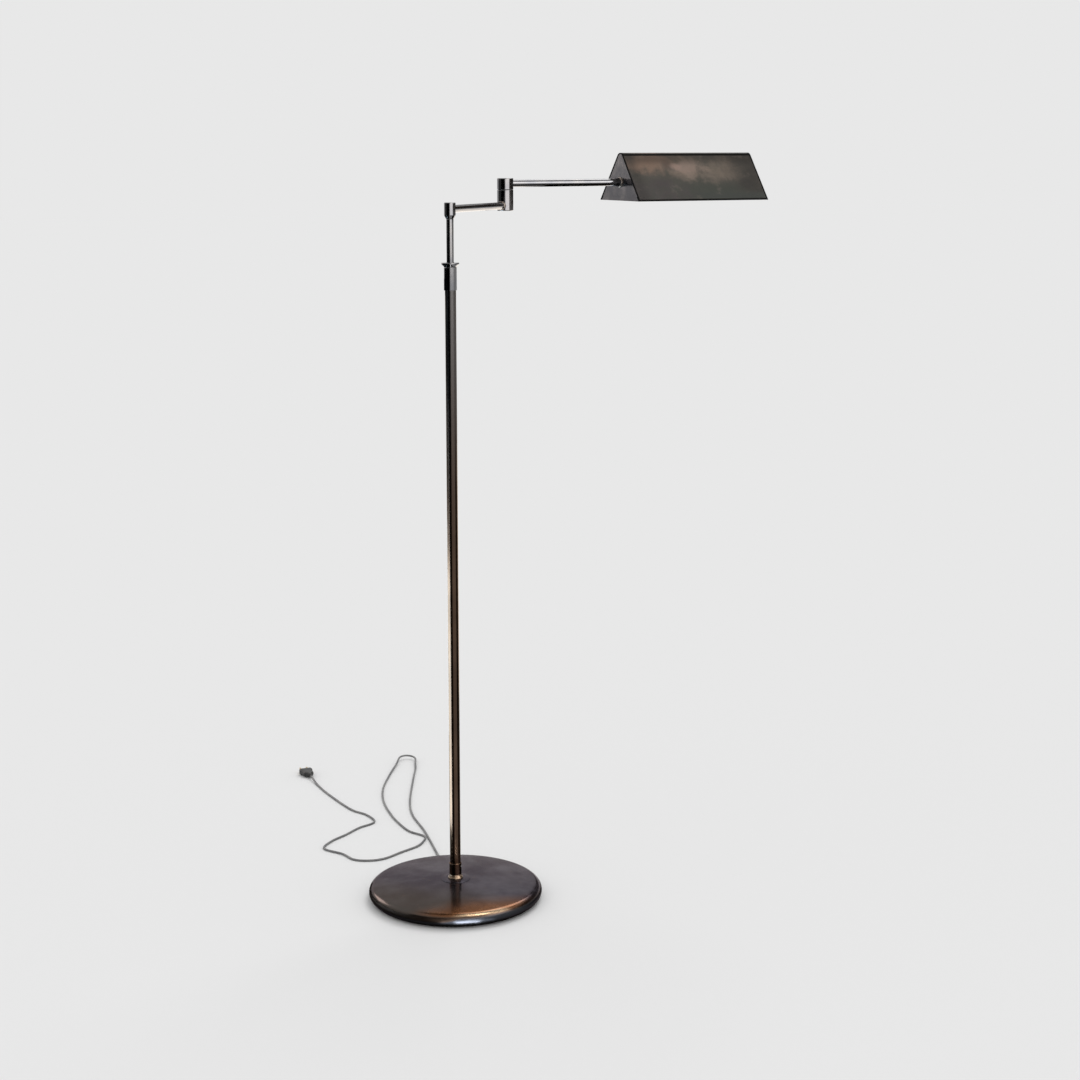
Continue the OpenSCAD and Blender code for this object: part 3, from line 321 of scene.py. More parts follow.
SLEEVE_LINE = [
    (135.5, 1.86), (135.5, 4.2), (140.5, 4.2), (140.5, 5.4), (141.1, 5.6), (141.8, 5.5), (142.2, 5.0),
    (142.8, 4.0), (149.0, 3.2), (156.0, 2.55), (159.6, 2.3), (160.0, 2.0), (160.0, 1.86)]
sleeve = turned("cord_sleeve", SLEEVE_LINE, (0, 0, EXIT_Z), exit_dir, "stand", smooth_angle=30)
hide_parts("cord_bushing")
rubber = Finish("black rubber", roughness=0.5)
rubber.set(base_color=rubber.mix(rubber.clouds(60).step(0.3, 0.7), (0.018, 0.018, 0.018), (0.035, 0.034, 0.033)))
rubber.relief(rubber.clouds(1500, 2), 0.0001)
wear(sleeve, rubber)

FIRST_RIB_BACK, PLUG_RIB_IN = 0.0163, 0.0014
ribs = Grower(
    "ribs along a tapered neck", Ribs="Int", Apart="Float", Radius="Float", Thickness="Float", Growth="Float")
spots = ribs.node("GeometryNodeMeshLine", {
    "Count": ribs["Ribs"], "Offset": ribs.node("ShaderNodeCombineXYZ", {"Z": ribs["Apart"]})})
rib = ribs.node("GeometryNodeCurveToMesh", {
    "Curve": ribs.node("GeometryNodeCurvePrimitiveCircle", {"Resolution": 40, "Radius": ribs["Radius"]}),
    "Profile Curve": ribs.node("GeometryNodeCurvePrimitiveCircle", {"Resolution": 10, "Radius": ribs["Thickness"]})})
size = ribs.node("ShaderNodeMath", {0: ribs.node("GeometryNodeInputIndex", {}), 1: ribs["Growth"], 2: 1.0},
                 {"operation": "MULTIPLY_ADD"})
ribs.end(ribs.node("GeometryNodeInstanceOnPoints", {"Points": spots, "Instance": rib, "Scale": size}))


def facing(point, ahead):
    """The place of a piece that was made along +Z, moved to a point and turned ahead."""
    return Matrix.Translation(point) @ Vector(ahead).to_track_quat("Z", "Y").to_matrix().to_4x4()


sleeve_ribs = ribs.grow(
    "cord_sleeve_ribs", "stand", rubber, facing(exit_point - FIRST_RIB_BACK * exit_dir, exit_dir),
    Ribs=5, Apart=0.0029, Radius=0.0037, Thickness=0.00065, Growth=-0.065)


def lofted(name, start, ahead, up, rounds, body):
    """A moulded body. Each round holds its distance along the line, half width, half height and squareness."""
    steps, smooth_angle = 40, 50
    side = up.cross(ahead).normalized()
    bm = bmesh.new()
    rings = []
    for along, wide, tall, square in rounds:
        ring = []
        for k in range(steps):
            a = 2 * math.pi * (k + 0.5) / steps
            c, s = math.cos(a), math.sin(a)
            x = wide * math.copysign(abs(c) ** (2 / square), c)
            z = tall * math.copysign(abs(s) ** (2 / square), s)
            ring.append(bm.verts.new(start + ahead * along + side * x + up * z))
        rings.append(ring)
    for a, b in zip(rings, rings[1:]):
        for k in range(steps):
            n = (k + 1) % steps
            bm.faces.new((a[k], a[n], b[n], b[k]))
    bm.faces.new(rings[0])
    bm.faces.new(rings[-1])
    return made_piece(name, bm, body, smooth_angle)


plug_rounds = [
    (0.0000, 0.0020, 0.0020, 2.0), (0.0004, 0.0023, 0.0023, 2.0), (0.0050, 0.0028, 0.0028, 2.0),
    (0.0092, 0.0036, 0.0034, 2.1), (0.0104, 0.0048, 0.0041, 2.2), (0.0114, 0.0064, 0.0045, 2.4),
    (0.0132, 0.0084, 0.0050, 2.6), (0.0160, 0.0098, 0.0053, 3.0), (0.0200, 0.0104, 0.0053, 3.4),
    (0.0245, 0.0105, 0.0052, 3.8), (0.0275, 0.0110, 0.0055, 4.2), (0.0300, 0.0120, 0.0059, 4.6),
    (0.0320, 0.0124, 0.0060, 5.0), (0.0365, 0.0125, 0.0060, 5.0), (0.0376, 0.0123, 0.0058, 5.0),
    (0.0380, 0.0119, 0.0054, 5.0),
]
plug = lofted("plug_moulding", plug_start, plug_dir, Vector((0, 0, 1)), plug_rounds, "stand")
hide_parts("plug_body")
wear(plug, rubber)
plug_ribs = ribs.grow(
    "plug_neck_ribs", "stand", rubber, facing(plug_start + PLUG_RIB_IN * plug_dir, plug_dir),
    Ribs=4, Apart=0.0022, Radius=0.0024, Thickness=0.0006, Growth=0.12)

BLADE_W, BLADE_T, BLADE_L, BLADE_GAP, BLADE_ROOT = 0.0064, 0.0015, 0.0160, 0.0127, 0.0379
TIP_BACK, TIP_END, TIP_IN = 0.0022, 0.0004, 0.0012
PIN_HOLE_BACK, PIN_HOLE_R, PIN_HOLE_STEPS = 0.0042, 0.0013, 12
plug_side = Vector((0, 0, 1)).cross(plug_dir).normalized()
bm = bmesh.new()
for hand in (-1, 1):
    root = plug_start + plug_dir * BLADE_ROOT + plug_side * (hand * BLADE_GAP / 2)
    outline = [(0.0, -BLADE_W / 2), (BLADE_L - TIP_BACK, -BLADE_W / 2),
               (BLADE_L - TIP_END, -BLADE_W / 2 + TIP_IN), (BLADE_L - TIP_END, BLADE_W / 2 - TIP_IN),
               (BLADE_L - TIP_BACK, BLADE_W / 2), (0.0, BLADE_W / 2)]
    hole = [(BLADE_L - PIN_HOLE_BACK + PIN_HOLE_R * math.cos(2 * math.pi * k / PIN_HOLE_STEPS),
             PIN_HOLE_R * math.sin(2 * math.pi * k / PIN_HOLE_STEPS)) for k in range(PIN_HOLE_STEPS)]
    layers = [[[bm.verts.new(root + plug_dir * x + Vector((0, 0, z)) + plug_side * (face * BLADE_T / 2))
                for x, z in line] for line in (outline, hole)] for face in (-1, 1)]
    for a, b in zip(*layers):
        for k in range(len(a)):
            n = (k + 1) % len(a)
            bm.faces.new((a[k], a[n], b[n], b[k]))
    for layer in layers:
        ends = [(line[k], line[(k + 1) % len(line)]) for line in layer for k in range(len(line))]
        edges = [bm.edges.get(pair) or bm.edges.new(pair) for pair in ends]
        bmesh.ops.triangle_fill(bm, use_beauty=True, edges=edges)
blades = made_piece("plug_pins", bm, "stand", 30)
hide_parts("plug_blades")
pin_brass = Finish("plug pins, brass", metallic=1.0, roughness=0.3)
pin_brass.set(base_color=pin_brass.mix(
    pin_brass.clouds(220, 4).step(0.4, 0.65), (0.60, 0.44, 0.20), (0.44, 0.30, 0.14)))
wear(blades, pin_brass)

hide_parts("cord")


# ---- Base ----
# Spun steel cover over a cast iron weight with a felt pad. The cover has a dark bronze lacquer with fine rings from
# the spinning. Near its front edge is a painted copper reflection, on its shoulder a painted cream highlight, and
# round its rim a painted dark reflection of the floor that turns nearly black at its foot.

EDGE_R, EDGE_X, EDGE_Z, DOME_R, COVER_WALL, BASE_TOP = 11.5, 128.5, 12.5, 1047.5, 1.5, 32.0
LIP_X, LIP_LOW, LIP_HIGH, HOLE_R = 122.5, 1.0, 2.5, 5.05
POLE_AXIS = (0, 0, 0), (0, 0, 1)
dome_end = math.asin(EDGE_X / (DOME_R - EDGE_R))


def soft(outline, radius):
    """The closed outline with its corners rounded, and points beside each round that keep the flats flat.
    A round takes no more than a share of the lines beside it."""
    share, beside = 0.3, 1.6
    line = []
    for k, (x, y) in enumerate(outline):
        here = Vector((x, y))
        before, after = (Vector(outline[(k + step) % len(outline)]) - here for step in (-1, 1))
        if y == 0 or before.length < 1e-6 or after.length < 1e-6:
            line.append((x, y))
            continue
        cut = min(radius, before.length * share, after.length * share)
        a, b = here + before.normalized() * cut, here + after.normalized() * cut
        line.append(tuple(here + before.normalized() * cut * beside))
        line += [tuple((1 - t) ** 2 * a + 2 * t * (1 - t) * here + t ** 2 * b) for t in (0, 0.33, 0.67, 1)]
        line.append(tuple(here + after.normalized() * cut * beside))
    return line


def stand_in(piece, finish, node):
    """Puts a finished piece in the place of the solid that it was made from."""
    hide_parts(node)
    wear(piece, finish)


def dome(inset):
    """Points of the cover's top from the hole outwards, and round its edge to the floor side."""
    across, around = 16, 32
    line = []
    for k in range(across + 1):
        radius = HOLE_R + ((DOME_R - inset) * math.sin(dome_end) - HOLE_R) * k / across
        line.append((BASE_TOP - DOME_R + math.sqrt((DOME_R - inset) ** 2 - radius ** 2), radius))
    for k in range(1, around + 1):
        turn = dome_end + (math.pi - dome_end) * k / around
        line.append((EDGE_Z + (EDGE_R - inset) * math.cos(turn), EDGE_X + (EDGE_R - inset) * math.sin(turn)))
    return line


cover = turned(
    "spun_cover", dome(0) + [(LIP_LOW, LIP_X), (LIP_HIGH, LIP_X)] + dome(COVER_WALL)[::-1],
    *POLE_AXIS, "stand", 192, 50)

# Heights on the cover's edge, in metres, where one tone gives way to the next.
BROWN_EDGE, PAINTED_DARK_RIM, LEE_DROP = (0.0210, 0.0180), (0.0195, 0.0155), 0.0065
SATIN_EDGE, PAINTED_BLACK_FOOT = (0.0185, 0.0150), (0.0100, 0.0055)
HIGHLIGHT_FROM, HIGHLIGHT_TO = (0.0190, 0.0202), (0.0222, 0.0238)
RINGS_RATE = 5200  # in radians per metre: one ring of the spinning each 1.2 mm
bronze = Finish(
    "bronze lacquer, base", metallic=0.9, specular_tint=(0.45, 0.40, 0.40), coat_roughness=0.10, coat_ior=1.4)
mottle = bronze.clouds(11, 5, 0.6, shift=(0.31, 0.12, 0), warp=0.4)
east, north, level = (bronze.axis(k) for k in range(3))
violet = bronze.mix(bronze.clouds(26, 5, 0.6).step(0.35, 0.7), (0.067, 0.064, 0.080), (0.107, 0.101, 0.120))
near = east * -0.75 + north * -0.66
olive = (near + mottle * 0.05).step(0.03, 0.13)
tone = bronze.mix(olive * 0.8, violet, (0.072, 0.060, 0.047))
# The copper towards the front edge is a painted warm reflection.
front = east * -0.114 + north * -0.9935
painted_copper_glow = (front + mottle * 0.05).step(0.100, 0.154)
tone = bronze.mix(painted_copper_glow * 0.9, tone, (0.150, 0.062, 0.024))
tone = bronze.mix(bronze.clouds(120, 3).step(0.62, 0.75) * 0.3, tone, (0.17, 0.12, 0.09))
tone = bronze.mix(level.step(*BROWN_EDGE) * 0.85, tone, (0.050, 0.039, 0.032))
# The blue-black rim, which starts lower on the near left side, is a painted dark reflection of the floor.
lee = (east * -0.954 + north * -0.301).step(0.085, 0.112)
tone = bronze.mix((level + lee * LEE_DROP).step(*PAINTED_DARK_RIM), tone, (0.028, 0.030, 0.035))
# A thin cream band on the front shoulder is a painted highlight.
painted_cream_highlight = (level.step(*HIGHLIGHT_FROM) - level.step(*HIGHLIGHT_TO)) * front.step(0.1255, 0.1335)
tone = bronze.mix(painted_cream_highlight * 0.8, tone, (0.36, 0.27, 0.18))
# Nearly black round the foot: more painted dark reflection of the floor.
tone = bronze.mix(level.step(*PAINTED_BLACK_FOOT), tone, (0.008, 0.008, 0.008))
satin = bronze.clouds(40, 4).step(0.3, 0.75)
bronze.set(
    base_color=tone, roughness=0.15 + satin * 0.12 + painted_copper_glow * 0.06 + level.step(*SATIN_EDGE) * 0.17,
    coat_weight=(0.15 + bronze.clouds(18, 3).step(0.4, 0.7) * 0.20) * level.step(*SATIN_EDGE[::-1]))
rings = bronze.node("ShaderNodeVectorMath", {"operation": "LENGTH"}, {0: bronze.place((1, 1, 0))}, "Value")
bronze.relief(
    bronze.node("ShaderNodeMath", {"operation": "SINE"}, {0: rings * RINGS_RATE}) * 0.04 + bronze.clouds(90, 4),
    0.00010, 0.5)
stand_in(cover, bronze, "base_cover")

casting = Finish("cast iron", metallic=0.6, roughness=0.7)
casting.set(base_color=casting.mix(casting.clouds(50, 6).step(0.3, 0.7), (0.045, 0.043, 0.042), (0.10, 0.09, 0.085)))
casting.relief(casting.clouds(300, 5), 0.0006)
wear(parts["base_weight"], casting)

felt = Finish("felt pad", roughness=0.95, sheen_weight=0.4)
felt.set(base_color=felt.mix(felt.clouds(400, 5).step(0.35, 0.65), (0.012, 0.013, 0.012), (0.035, 0.037, 0.034)))
felt.relief(felt.clouds(1800, 3, stretch=(1, 1, 0.4)), 0.0004)
wear(parts["base_felt"], felt)


# ---- Foot of the pole ----
# A thin washer in the base's finish, a brass ring with a round flank and a ferrule that the pole
# stands in. A threaded nipple clamps them to the base, and a slotted screw holds the pole.

WASHER_TOP, RING_TOP, FLANK_FROM, FLARE_R, FLARE = 33.2, 40.0, 34.9, 9.75, 2.15
SOCKET_BORE, POLE_LOW = 8.62, 45.0
washer_line = [(BASE_TOP, HOLE_R), (BASE_TOP, 24.0), (32.3, 23.9), (WASHER_TOP, 17.0), (WASHER_TOP, HOLE_R)]
escutcheon = turned("foot_washer", soft(washer_line, 0.15), *POLE_AXIS, "stand", 96)
stand_in(escutcheon, bronze, "foot_escutcheon")

old_brass = Finish("aged brass", metallic=1.0)
tarnish = old_brass.clouds(150, 5, 0.6)
old_brass.set(
    base_color=old_brass.mix(tarnish.step(0.35, 0.7), (0.27, 0.195, 0.135), (0.16, 0.11, 0.075)),
    roughness=0.30 + tarnish.step(0.4, 0.8) * 0.15)
ring_flank = [(WASHER_TOP, 11.6), (33.6, 12.1), (34.2, 12.2), (FLANK_FROM, 11.9)]
ring_flank += [(FLANK_FROM + 5.1 * k / 8, FLARE_R + FLARE * (1 - k / 8) ** 1.6) for k in range(1, 9)]
ring_line = [(WASHER_TOP, HOLE_R)] + ring_flank + [(RING_TOP, HOLE_R)]
foot_ring = turned("foot_bead", ring_line, *POLE_AXIS, "stand", 72)
stand_in(foot_ring, old_brass, "foot_ring")

pole_bronze = Finish(
    "bronze lacquer, pole", metallic=1.0, specular_tint=(0.6, 0.55, 0.5), coat_weight=0.1, coat_roughness=0.1)
streaks = pole_bronze.clouds(160, 4, 0.6, stretch=(1, 1, 0.05))
cloudy = pole_bronze.clouds(9, 4, 0.6, stretch=(1, 1, 0.7), shift=(0.2, 0.4, 0.1))
# Greyer towards the top: a painted grey reflection.
upper = pole_bronze.axis(2).step(0.55, 1.0)
tone = pole_bronze.mix(cloudy.step(0.35, 0.7), (0.060, 0.038, 0.026), (0.105, 0.064, 0.042))
tone = pole_bronze.mix(upper, tone, (0.085, 0.080, 0.078))
tone = pole_bronze.mix(streaks.step(0.55, 0.8) * 0.3, tone, (0.17, 0.12, 0.085))
pole_bronze.set(base_color=tone, roughness=0.14 + streaks.step(0.3, 0.7) * 0.08)
pole_bronze.relief(streaks, 0.00002)
socket_line = [(RING_TOP, HOLE_R), (RING_TOP, 9.8), (58.4, 9.8), (59.0, 9.2), (59.0, SOCKET_BORE),
               (POLE_LOW, SOCKET_BORE), (POLE_LOW, HOLE_R)]
ferrule = turned("pole_socket", soft(socket_line, 0.25), *POLE_AXIS, "stand", 72)
stand_in(ferrule, pole_bronze, "pole_ferrule")

zinc = Finish("zinc-plated steel", metallic=1.0)
spangle = zinc.clouds(420, 4)
zinc.set(
    base_color=zinc.mix(spangle.step(0.35, 0.65), (0.42, 0.43, 0.45), (0.60, 0.60, 0.60)),
    roughness=0.28 + spangle * 0.18)
for name in ("base_nipple", "base_washer", "base_nut", "shoulder_stud", "shoulder_nut", "elbow_stud",
             "elbow_lock_washer", "elbow_nut", "shade_stud", "shade_nut", "holder_nipple"):
    wear(parts[name], zinc)

SCREW_TURN, SCREW_Z = math.radians(-40), 0.053
SLOT_W, SLOT_DEEP, SCREW_R, HEAD_OUT, HEAD_EDGE, DISC_T, DISC_IN = 0.55, 0.32, 1.95, 10.2, 10.05, 0.8, 0.39
SCREW_STEPS = 32
bm = bmesh.new()
outline = [(SCREW_R * math.cos(2 * math.pi * k / SCREW_STEPS), SCREW_R * math.sin(2 * math.pi * k / SCREW_STEPS))
           for k in range(SCREW_STEPS)]
for hand in (-1, 1):
    half = [(hand * max(hand * x, SLOT_W / 2), z) for x, z in outline if hand * x > -1e-6]
    half.sort(key=lambda p: math.atan2(p[1], hand * p[0]))
    rings = [[bm.verts.new((depth, x * shrink, z * shrink)) for x, z in half]
             for depth, shrink in ((HEAD_OUT - SLOT_DEEP, 1.0), (HEAD_EDGE, 1.0), (HEAD_OUT, 0.9))]
    for a, b in zip(rings, rings[1:]):
        for k in range(len(half)):
            bm.faces.new((a[k], a[(k + 1) % len(half)], b[(k + 1) % len(half)], b[k]))
    bm.faces.new(rings[0])
    bm.faces.new(rings[-1])
bmesh.ops.create_cone(
    bm, cap_ends=True, segments=SCREW_STEPS, radius1=SCREW_R, radius2=SCREW_R, depth=DISC_T,
    matrix=Matrix.Translation((HEAD_OUT - SLOT_DEEP - DISC_IN, 0, 0)) @ Matrix.Rotation(math.pi / 2, 4, "Y"))
bm.transform(Matrix.Translation((0, 0, SCREW_Z)) @ Matrix.Rotation(SCREW_TURN, 4, "Z") @ Matrix.Scale(MM, 4))
screw = made_piece("slotted_screw", bm, "stand", 30)
stand_in(screw, zinc, "ferrule_screw")


# ---- Pole and collar ----
# Drawn steel tube with the base's bronze lacquer, streaked lengthways, and a black nickel collar
# with a flared flange. A nylon guide inside it holds the sliding riser by friction.

POLE_HIGH, COLLAR_STEP, COLLAR_TOP, RISER_HOLE = 999.0, 1013.0, 1014.7, 5.9


def tube(low, high, bore, outside, rounding):
    """The outline of a tube with its ends rounded off a little."""
    return soft([(low, bore), (low, outside), (high, outside), (high, bore)], rounding)


pole = turned("pole_shaft", tube(POLE_LOW, POLE_HIGH, 7.4, 8.6, 0.3), *POLE_AXIS, "stand", 72)
stand_in(pole, pole_bronze, "pole_tube")

nickel = Finish("black nickel", metallic=1.0)
film = nickel.clouds(34, 5, 0.6)
nickel.set(
    base_color=nickel.mix(film.step(0.3, 0.72), (0.150, 0.150, 0.158), (0.205, 0.198, 0.195)),
    roughness=0.09 + film.step(0.35, 0.75) * 0.07)
nickel.relief(nickel.clouds(40, 2), 0.00004)
collar_line = [(980.0, SOCKET_BORE), (980.0, 9.9), (COLLAR_TOP, 9.9), (COLLAR_TOP, RISER_HOLE),
               (COLLAR_STEP, RISER_HOLE), (COLLAR_STEP, SOCKET_BORE)]
collar = turned("collar_sleeve", soft(collar_line, 0.3), *POLE_AXIS, "stand", 72)
stand_in(collar, nickel, "pole_collar")
flange_line = [(1015.0, RISER_HOLE), (1015.0, 9.7), (1016.2, 9.9), (1019.4, 13.5), (1019.8, 13.7),
               (1021.4, 13.7), (1022.0, 13.2), (1022.0, 6.9), (1021.0, RISER_HOLE)]
flange = turned("collar_flare", soft(flange_line, 0.35), *POLE_AXIS, "stand", 72)
stand_in(flange, nickel, "collar_flange")

nylon = Finish("black nylon", roughness=0.42)
nylon.set(base_color=nylon.mix(nylon.clouds(120, 3).step(0.3, 0.7), (0.030, 0.029, 0.028), (0.055, 0.053, 0.050)))
for name in ("guide_bush", "shoulder_washer", "elbow_washer", "shade_washer"):
    wear(parts[name], nylon)
for name in ("inner_lead", "arm_1_lead", "arm_2_lead"):
    wear(parts[name], sheath)


# ---- Riser and shoulder ----
# A polished tube that slides in the pole, with a brass stop at its foot. The knuckle on top of it
# carries the first arm and turns on a hollow stud under a pressed-in cap.

KNUCKLE_TOP, KNUCKLE_STEP, CAP_LOW = 1112.5, 1109.4, 1110.1
riser = turned("riser_shaft", tube(770.0, 1087.4, 4.5, 5.6, 0.25), *POLE_AXIS, "riser", 64)
stand_in(riser, nickel, "riser_tube")
wear(parts["riser_stop"], old_brass)
knuckle_line = [(1088.1, 3.55), (1088.1, 6.2), (1093.1, 8.8), (1111.9, 8.8), (KNUCKLE_TOP, 8.2),
                (KNUCKLE_TOP, 5.82), (KNUCKLE_STEP, 5.82), (KNUCKLE_STEP, 3.55)]
knuckle = turned("knuckle_housing", soft(knuckle_line, 0.5), *POLE_AXIS, "arm_1", 64)
stand_in(knuckle, nickel, "shoulder_knuckle")
cap_line = [(CAP_LOW, 0), (CAP_LOW, 5.75), (1112.3, 5.75), (KNUCKLE_TOP, 5.3), (KNUCKLE_TOP, 0)]
shoulder_cap = turned("knuckle_cap", soft(cap_line, 0.2), *POLE_AXIS, "arm_1", 48)
stand_in(shoulder_cap, nickel, "shoulder_cap")


# ---- First arm and elbow ----
# A polished tube pressed into the elbow's lower housing, with a light ring round its end. The upper
# housing turns on it over a dark washer, and both are closed by pressed-in caps.

ARM_TURN = math.radians(38)
ELBOW = (0.1544501, 0.1206696, 0)
ELBOW_R, ELBOW_BORE, ELBOW_WELL = 13.0, 4.05, 7.9
LOWER_FOOT, LOWER_TOP, UPPER_FOOT, UPPER_TOP = 1094.5, 1127.4, 1128.0, 1146.0
arm_1_dir = (math.cos(ARM_TURN), math.sin(ARM_TURN), 0)
arm_1_line = (0, 0, 1.1027), arm_1_dir
elbow_axis = ELBOW, (0, 0, 1)


def arm(name, low, high, line, body):
    """A polished arm tube between two distances along its line, in millimetres."""
    return turned(name, tube(low, high, 4.7, 5.9, 0.25), *line, body, 64)


pale = Finish("pale brass, rings", metallic=1.0)
rub = pale.clouds(180, 4)
pale.set(
    base_color=pale.mix(rub.step(0.35, 0.7), (0.46, 0.40, 0.35), (0.34, 0.28, 0.23)),
    roughness=0.32 + rub * 0.15)
arm_1 = arm("first_arm", 6.9, 186.7, arm_1_line, "arm_1")
stand_in(arm_1, nickel, "arm_1_tube")
arm_ring = turned(
    "first_arm_ring", soft([(179.4, 5.95), (179.4, 6.6), (179.9, 6.8), (184.6, 6.8), (184.6, 5.95)], 0.2),
    *arm_1_line, "arm_1", 64)
stand_in(arm_ring, pale, "arm_1_ring")
lower_line = [(LOWER_FOOT, ELBOW_WELL), (LOWER_FOOT, 12.2), (1095.3, ELBOW_R), (1127.0, ELBOW_R),
              (LOWER_TOP, 12.6), (LOWER_TOP, ELBOW_BORE), (1117.4, ELBOW_BORE), (1117.4, ELBOW_WELL)]
lower = turned("elbow_lower_housing", soft(lower_line, 0.4), *elbow_axis, "arm_1", 72)
stand_in(lower, nickel, "elbow_lower")
plug_line = [(LOWER_FOOT, 0), (LOWER_FOOT, 7.4), (1094.8, 7.85), (1096.9, 7.85), (1096.9, 0)]
plug_cap = turned("elbow_lower_cap", soft(plug_line, 0.2), *elbow_axis, "arm_1", 48)
stand_in(plug_cap, nickel, "elbow_plug")
upper_line = [(UPPER_FOOT, ELBOW_BORE), (UPPER_FOOT, 12.6), (1128.4, ELBOW_R), (1145.2, ELBOW_R),
              (UPPER_TOP, 12.2), (UPPER_TOP, ELBOW_WELL), (1133.0, ELBOW_WELL), (1133.0, ELBOW_BORE)]
upper_housing = turned("elbow_upper_housing", soft(upper_line, 0.4), *elbow_axis, "arm_2", 72)
stand_in(upper_housing, nickel, "elbow_upper")
top_line = [(1143.6, 0), (1143.6, 7.85), (1145.7, 7.85), (UPPER_TOP, 7.4), (UPPER_TOP, 0)]
top_cap = turned("elbow_upper_cap", soft(top_line, 0.2), *elbow_axis, "arm_2", 48)
stand_in(top_cap, nickel, "elbow_cap")


# ---- Second arm ----
# The same polished tube, fixed in the elbow's upper housing. It ends in a flared collar of black
# nickel, and a light brass ring beside the collar turns with the shade on a hollow stud.

arm_2_line = (ELBOW[0], ELBOW[1], 1.1377), (1, 0, 0)
arm_2 = arm("second_arm", 9.3, 207.5, arm_2_line, "arm_2")
stand_in(arm_2, nickel, "arm_2_tube")
black_nickel = Finish("black nickel, end collar", metallic=1.0)
soot = black_nickel.clouds(200, 4)
black_nickel.set(
    base_color=black_nickel.mix(soot.step(0.3, 0.7), (0.016, 0.016, 0.018), (0.040, 0.038, 0.038)),
    roughness=0.22 + soot * 0.14)
flare_line = [(202.7, 5.95), (202.7, 6.5), (204.5, 6.6), (207.6, 7.0), (209.2, 7.4), (209.7, 7.0),
              (209.7, 4.05), (207.7, 4.05), (207.7, 5.95)]
end_collar = turned("arm_end_collar", soft(flare_line, 0.25), *arm_2_line, "arm_2", 64)
stand_in(end_collar, black_nickel, "arm_2_collar")
side_ring_line = [(210.1, 4.1), (210.1, 7.4), (210.5, 8.0), (211.6, 8.0), (212.1, 7.4), (212.1, 4.1)]
light_ring = turned("shade_side_ring", soft(side_ring_line, 0.25), *arm_2_line, "shade", 64)
stand_in(light_ring, pale, "shade_ring")


# ---- Shade ----
# Sheet brass folded to a tent with a turned hem along both lower edges, patinated in dark clouds and waxed. Its
# clouds are partly patina and partly painted reflection, with a painted dark reflection in the fold and a dark line
# along the hem and the ends. It was folded by hand, so it isn't dead flat.

SHEET_X, SHEET_L, SHADE_Z = 365.65, 251.0, 1107.7
HALF_W, APEX_H, FOLD_R, SHEET_T, HEM_H, HEM_GAP, FOOT_H = 65.0, 84.0, 10.0, 1.2, 7.0, 0.4, 0.6
BAYS, CUT_EDGE, EDGE_DROP, RIDGE_FROM = 28, 0.35, 0.25, 76
SWAY, SWAY_SHARE, SWAY_TOP = 0.10, 0.6, 74
lean = math.atan2(HALF_W, APEX_H)
fold_up = APEX_H - FOLD_R / math.sin(lean)


def tent(inset, foot):
    """One side of the tent's outline from its foot to the fold's top, drawn in by an inset."""
    radius = FOLD_R - inset
    half = (APEX_H - foot) * math.tan(lean) - inset / math.cos(lean)
    top = [(radius * math.cos(turn), fold_up + radius * math.sin(turn))
           for turn in (lean + (math.pi / 2 - lean) * k / 8 for k in range(9))]
    start = Vector((half, foot))
    end = Vector(top[0])
    return [tuple(start.lerp(end, k / 8)) for k in range(8)] + top


outer_side = tent(0, FOOT_H)
inner_side = tent(SHEET_T, HEM_H + HEM_GAP)
hem_side = tent(2 * SHEET_T, FOOT_H)[0:1] + tent(2 * SHEET_T, HEM_H)[0:1]
foot_point = ((HALF_W + hem_side[0][0]) / 2, 0.0)
half_line = outer_side[::-1] + [foot_point] + hem_side + inner_side
section = [(-y, z) for y, z in half_line[::-1]] + half_line
section = [p for k, p in enumerate(section) if (Vector(p) - Vector(section[k - 1])).length > 1e-6]
bm = bmesh.new()
stations = [0.0, CUT_EDGE] + [SHEET_L * k / BAYS for k in range(1, BAYS)] + [SHEET_L - CUT_EDGE, SHEET_L]
rows = []
for along in stations:
    drop = EDGE_DROP if along in (0.0, SHEET_L) else 0.0
    row = []
    for y, z in section:
        sway = SWAY * (1 - math.cos(2 * math.pi * along / SHEET_L))
        sway *= 1 + SWAY_SHARE * math.sin(along * 0.055 + z * 0.06)
        sway *= math.sin(math.pi * min(max(z / SWAY_TOP, 0), 1))
        across = ELBOW[1] / MM + y - math.copysign(sway, y)
        row.append(bm.verts.new((SHEET_X + along, across, SHADE_Z + z - drop * (z > RIDGE_FROM))))
    rows.append(row)
for a, b in zip(rows, rows[1:]):
    for k in range(len(section)):
        n = (k + 1) % len(section)
        bm.faces.new((a[k], a[n], b[n], b[k]))
bm.faces.new(rows[0])
bm.faces.new(rows[-1])
bm.transform(Matrix.Scale(MM, 4))
sheet = made_piece("folded_sheet", bm, "shade", 35)

patina = Finish("dark patina, sheet", specular_tint=(0.5, 0.5, 0.5))
HEIGHT = 0.0777
along = (patina.axis(0) - SHEET_X * MM) * (1 / (SHEET_L * MM))
up = (patina.axis(2) - SHADE_Z * MM) * (1 / HEIGHT)
broad = patina.clouds(11, 5, 0.62, shift=(0.15, 0.42, 0.30), warp=0.7)
fine = patina.clouds(60, 5, 0.6)
drift = (patina.clouds(26, 6, 0.7, shift=(0.7, 0.1, 0.5), warp=0.4) - 0.5) * 6.0


def cloud(x, z, wide, tall):
    """1 in a soft cloud on the sheet and 0 away from it. Its place and size are shares of the sheet's
    length and height."""
    away = ((along - x) * (1 / wide)) ** 2 + ((up - z) * (1 / tall)) ** 2
    return (1 - away + drift).step(-0.7, 1.3)


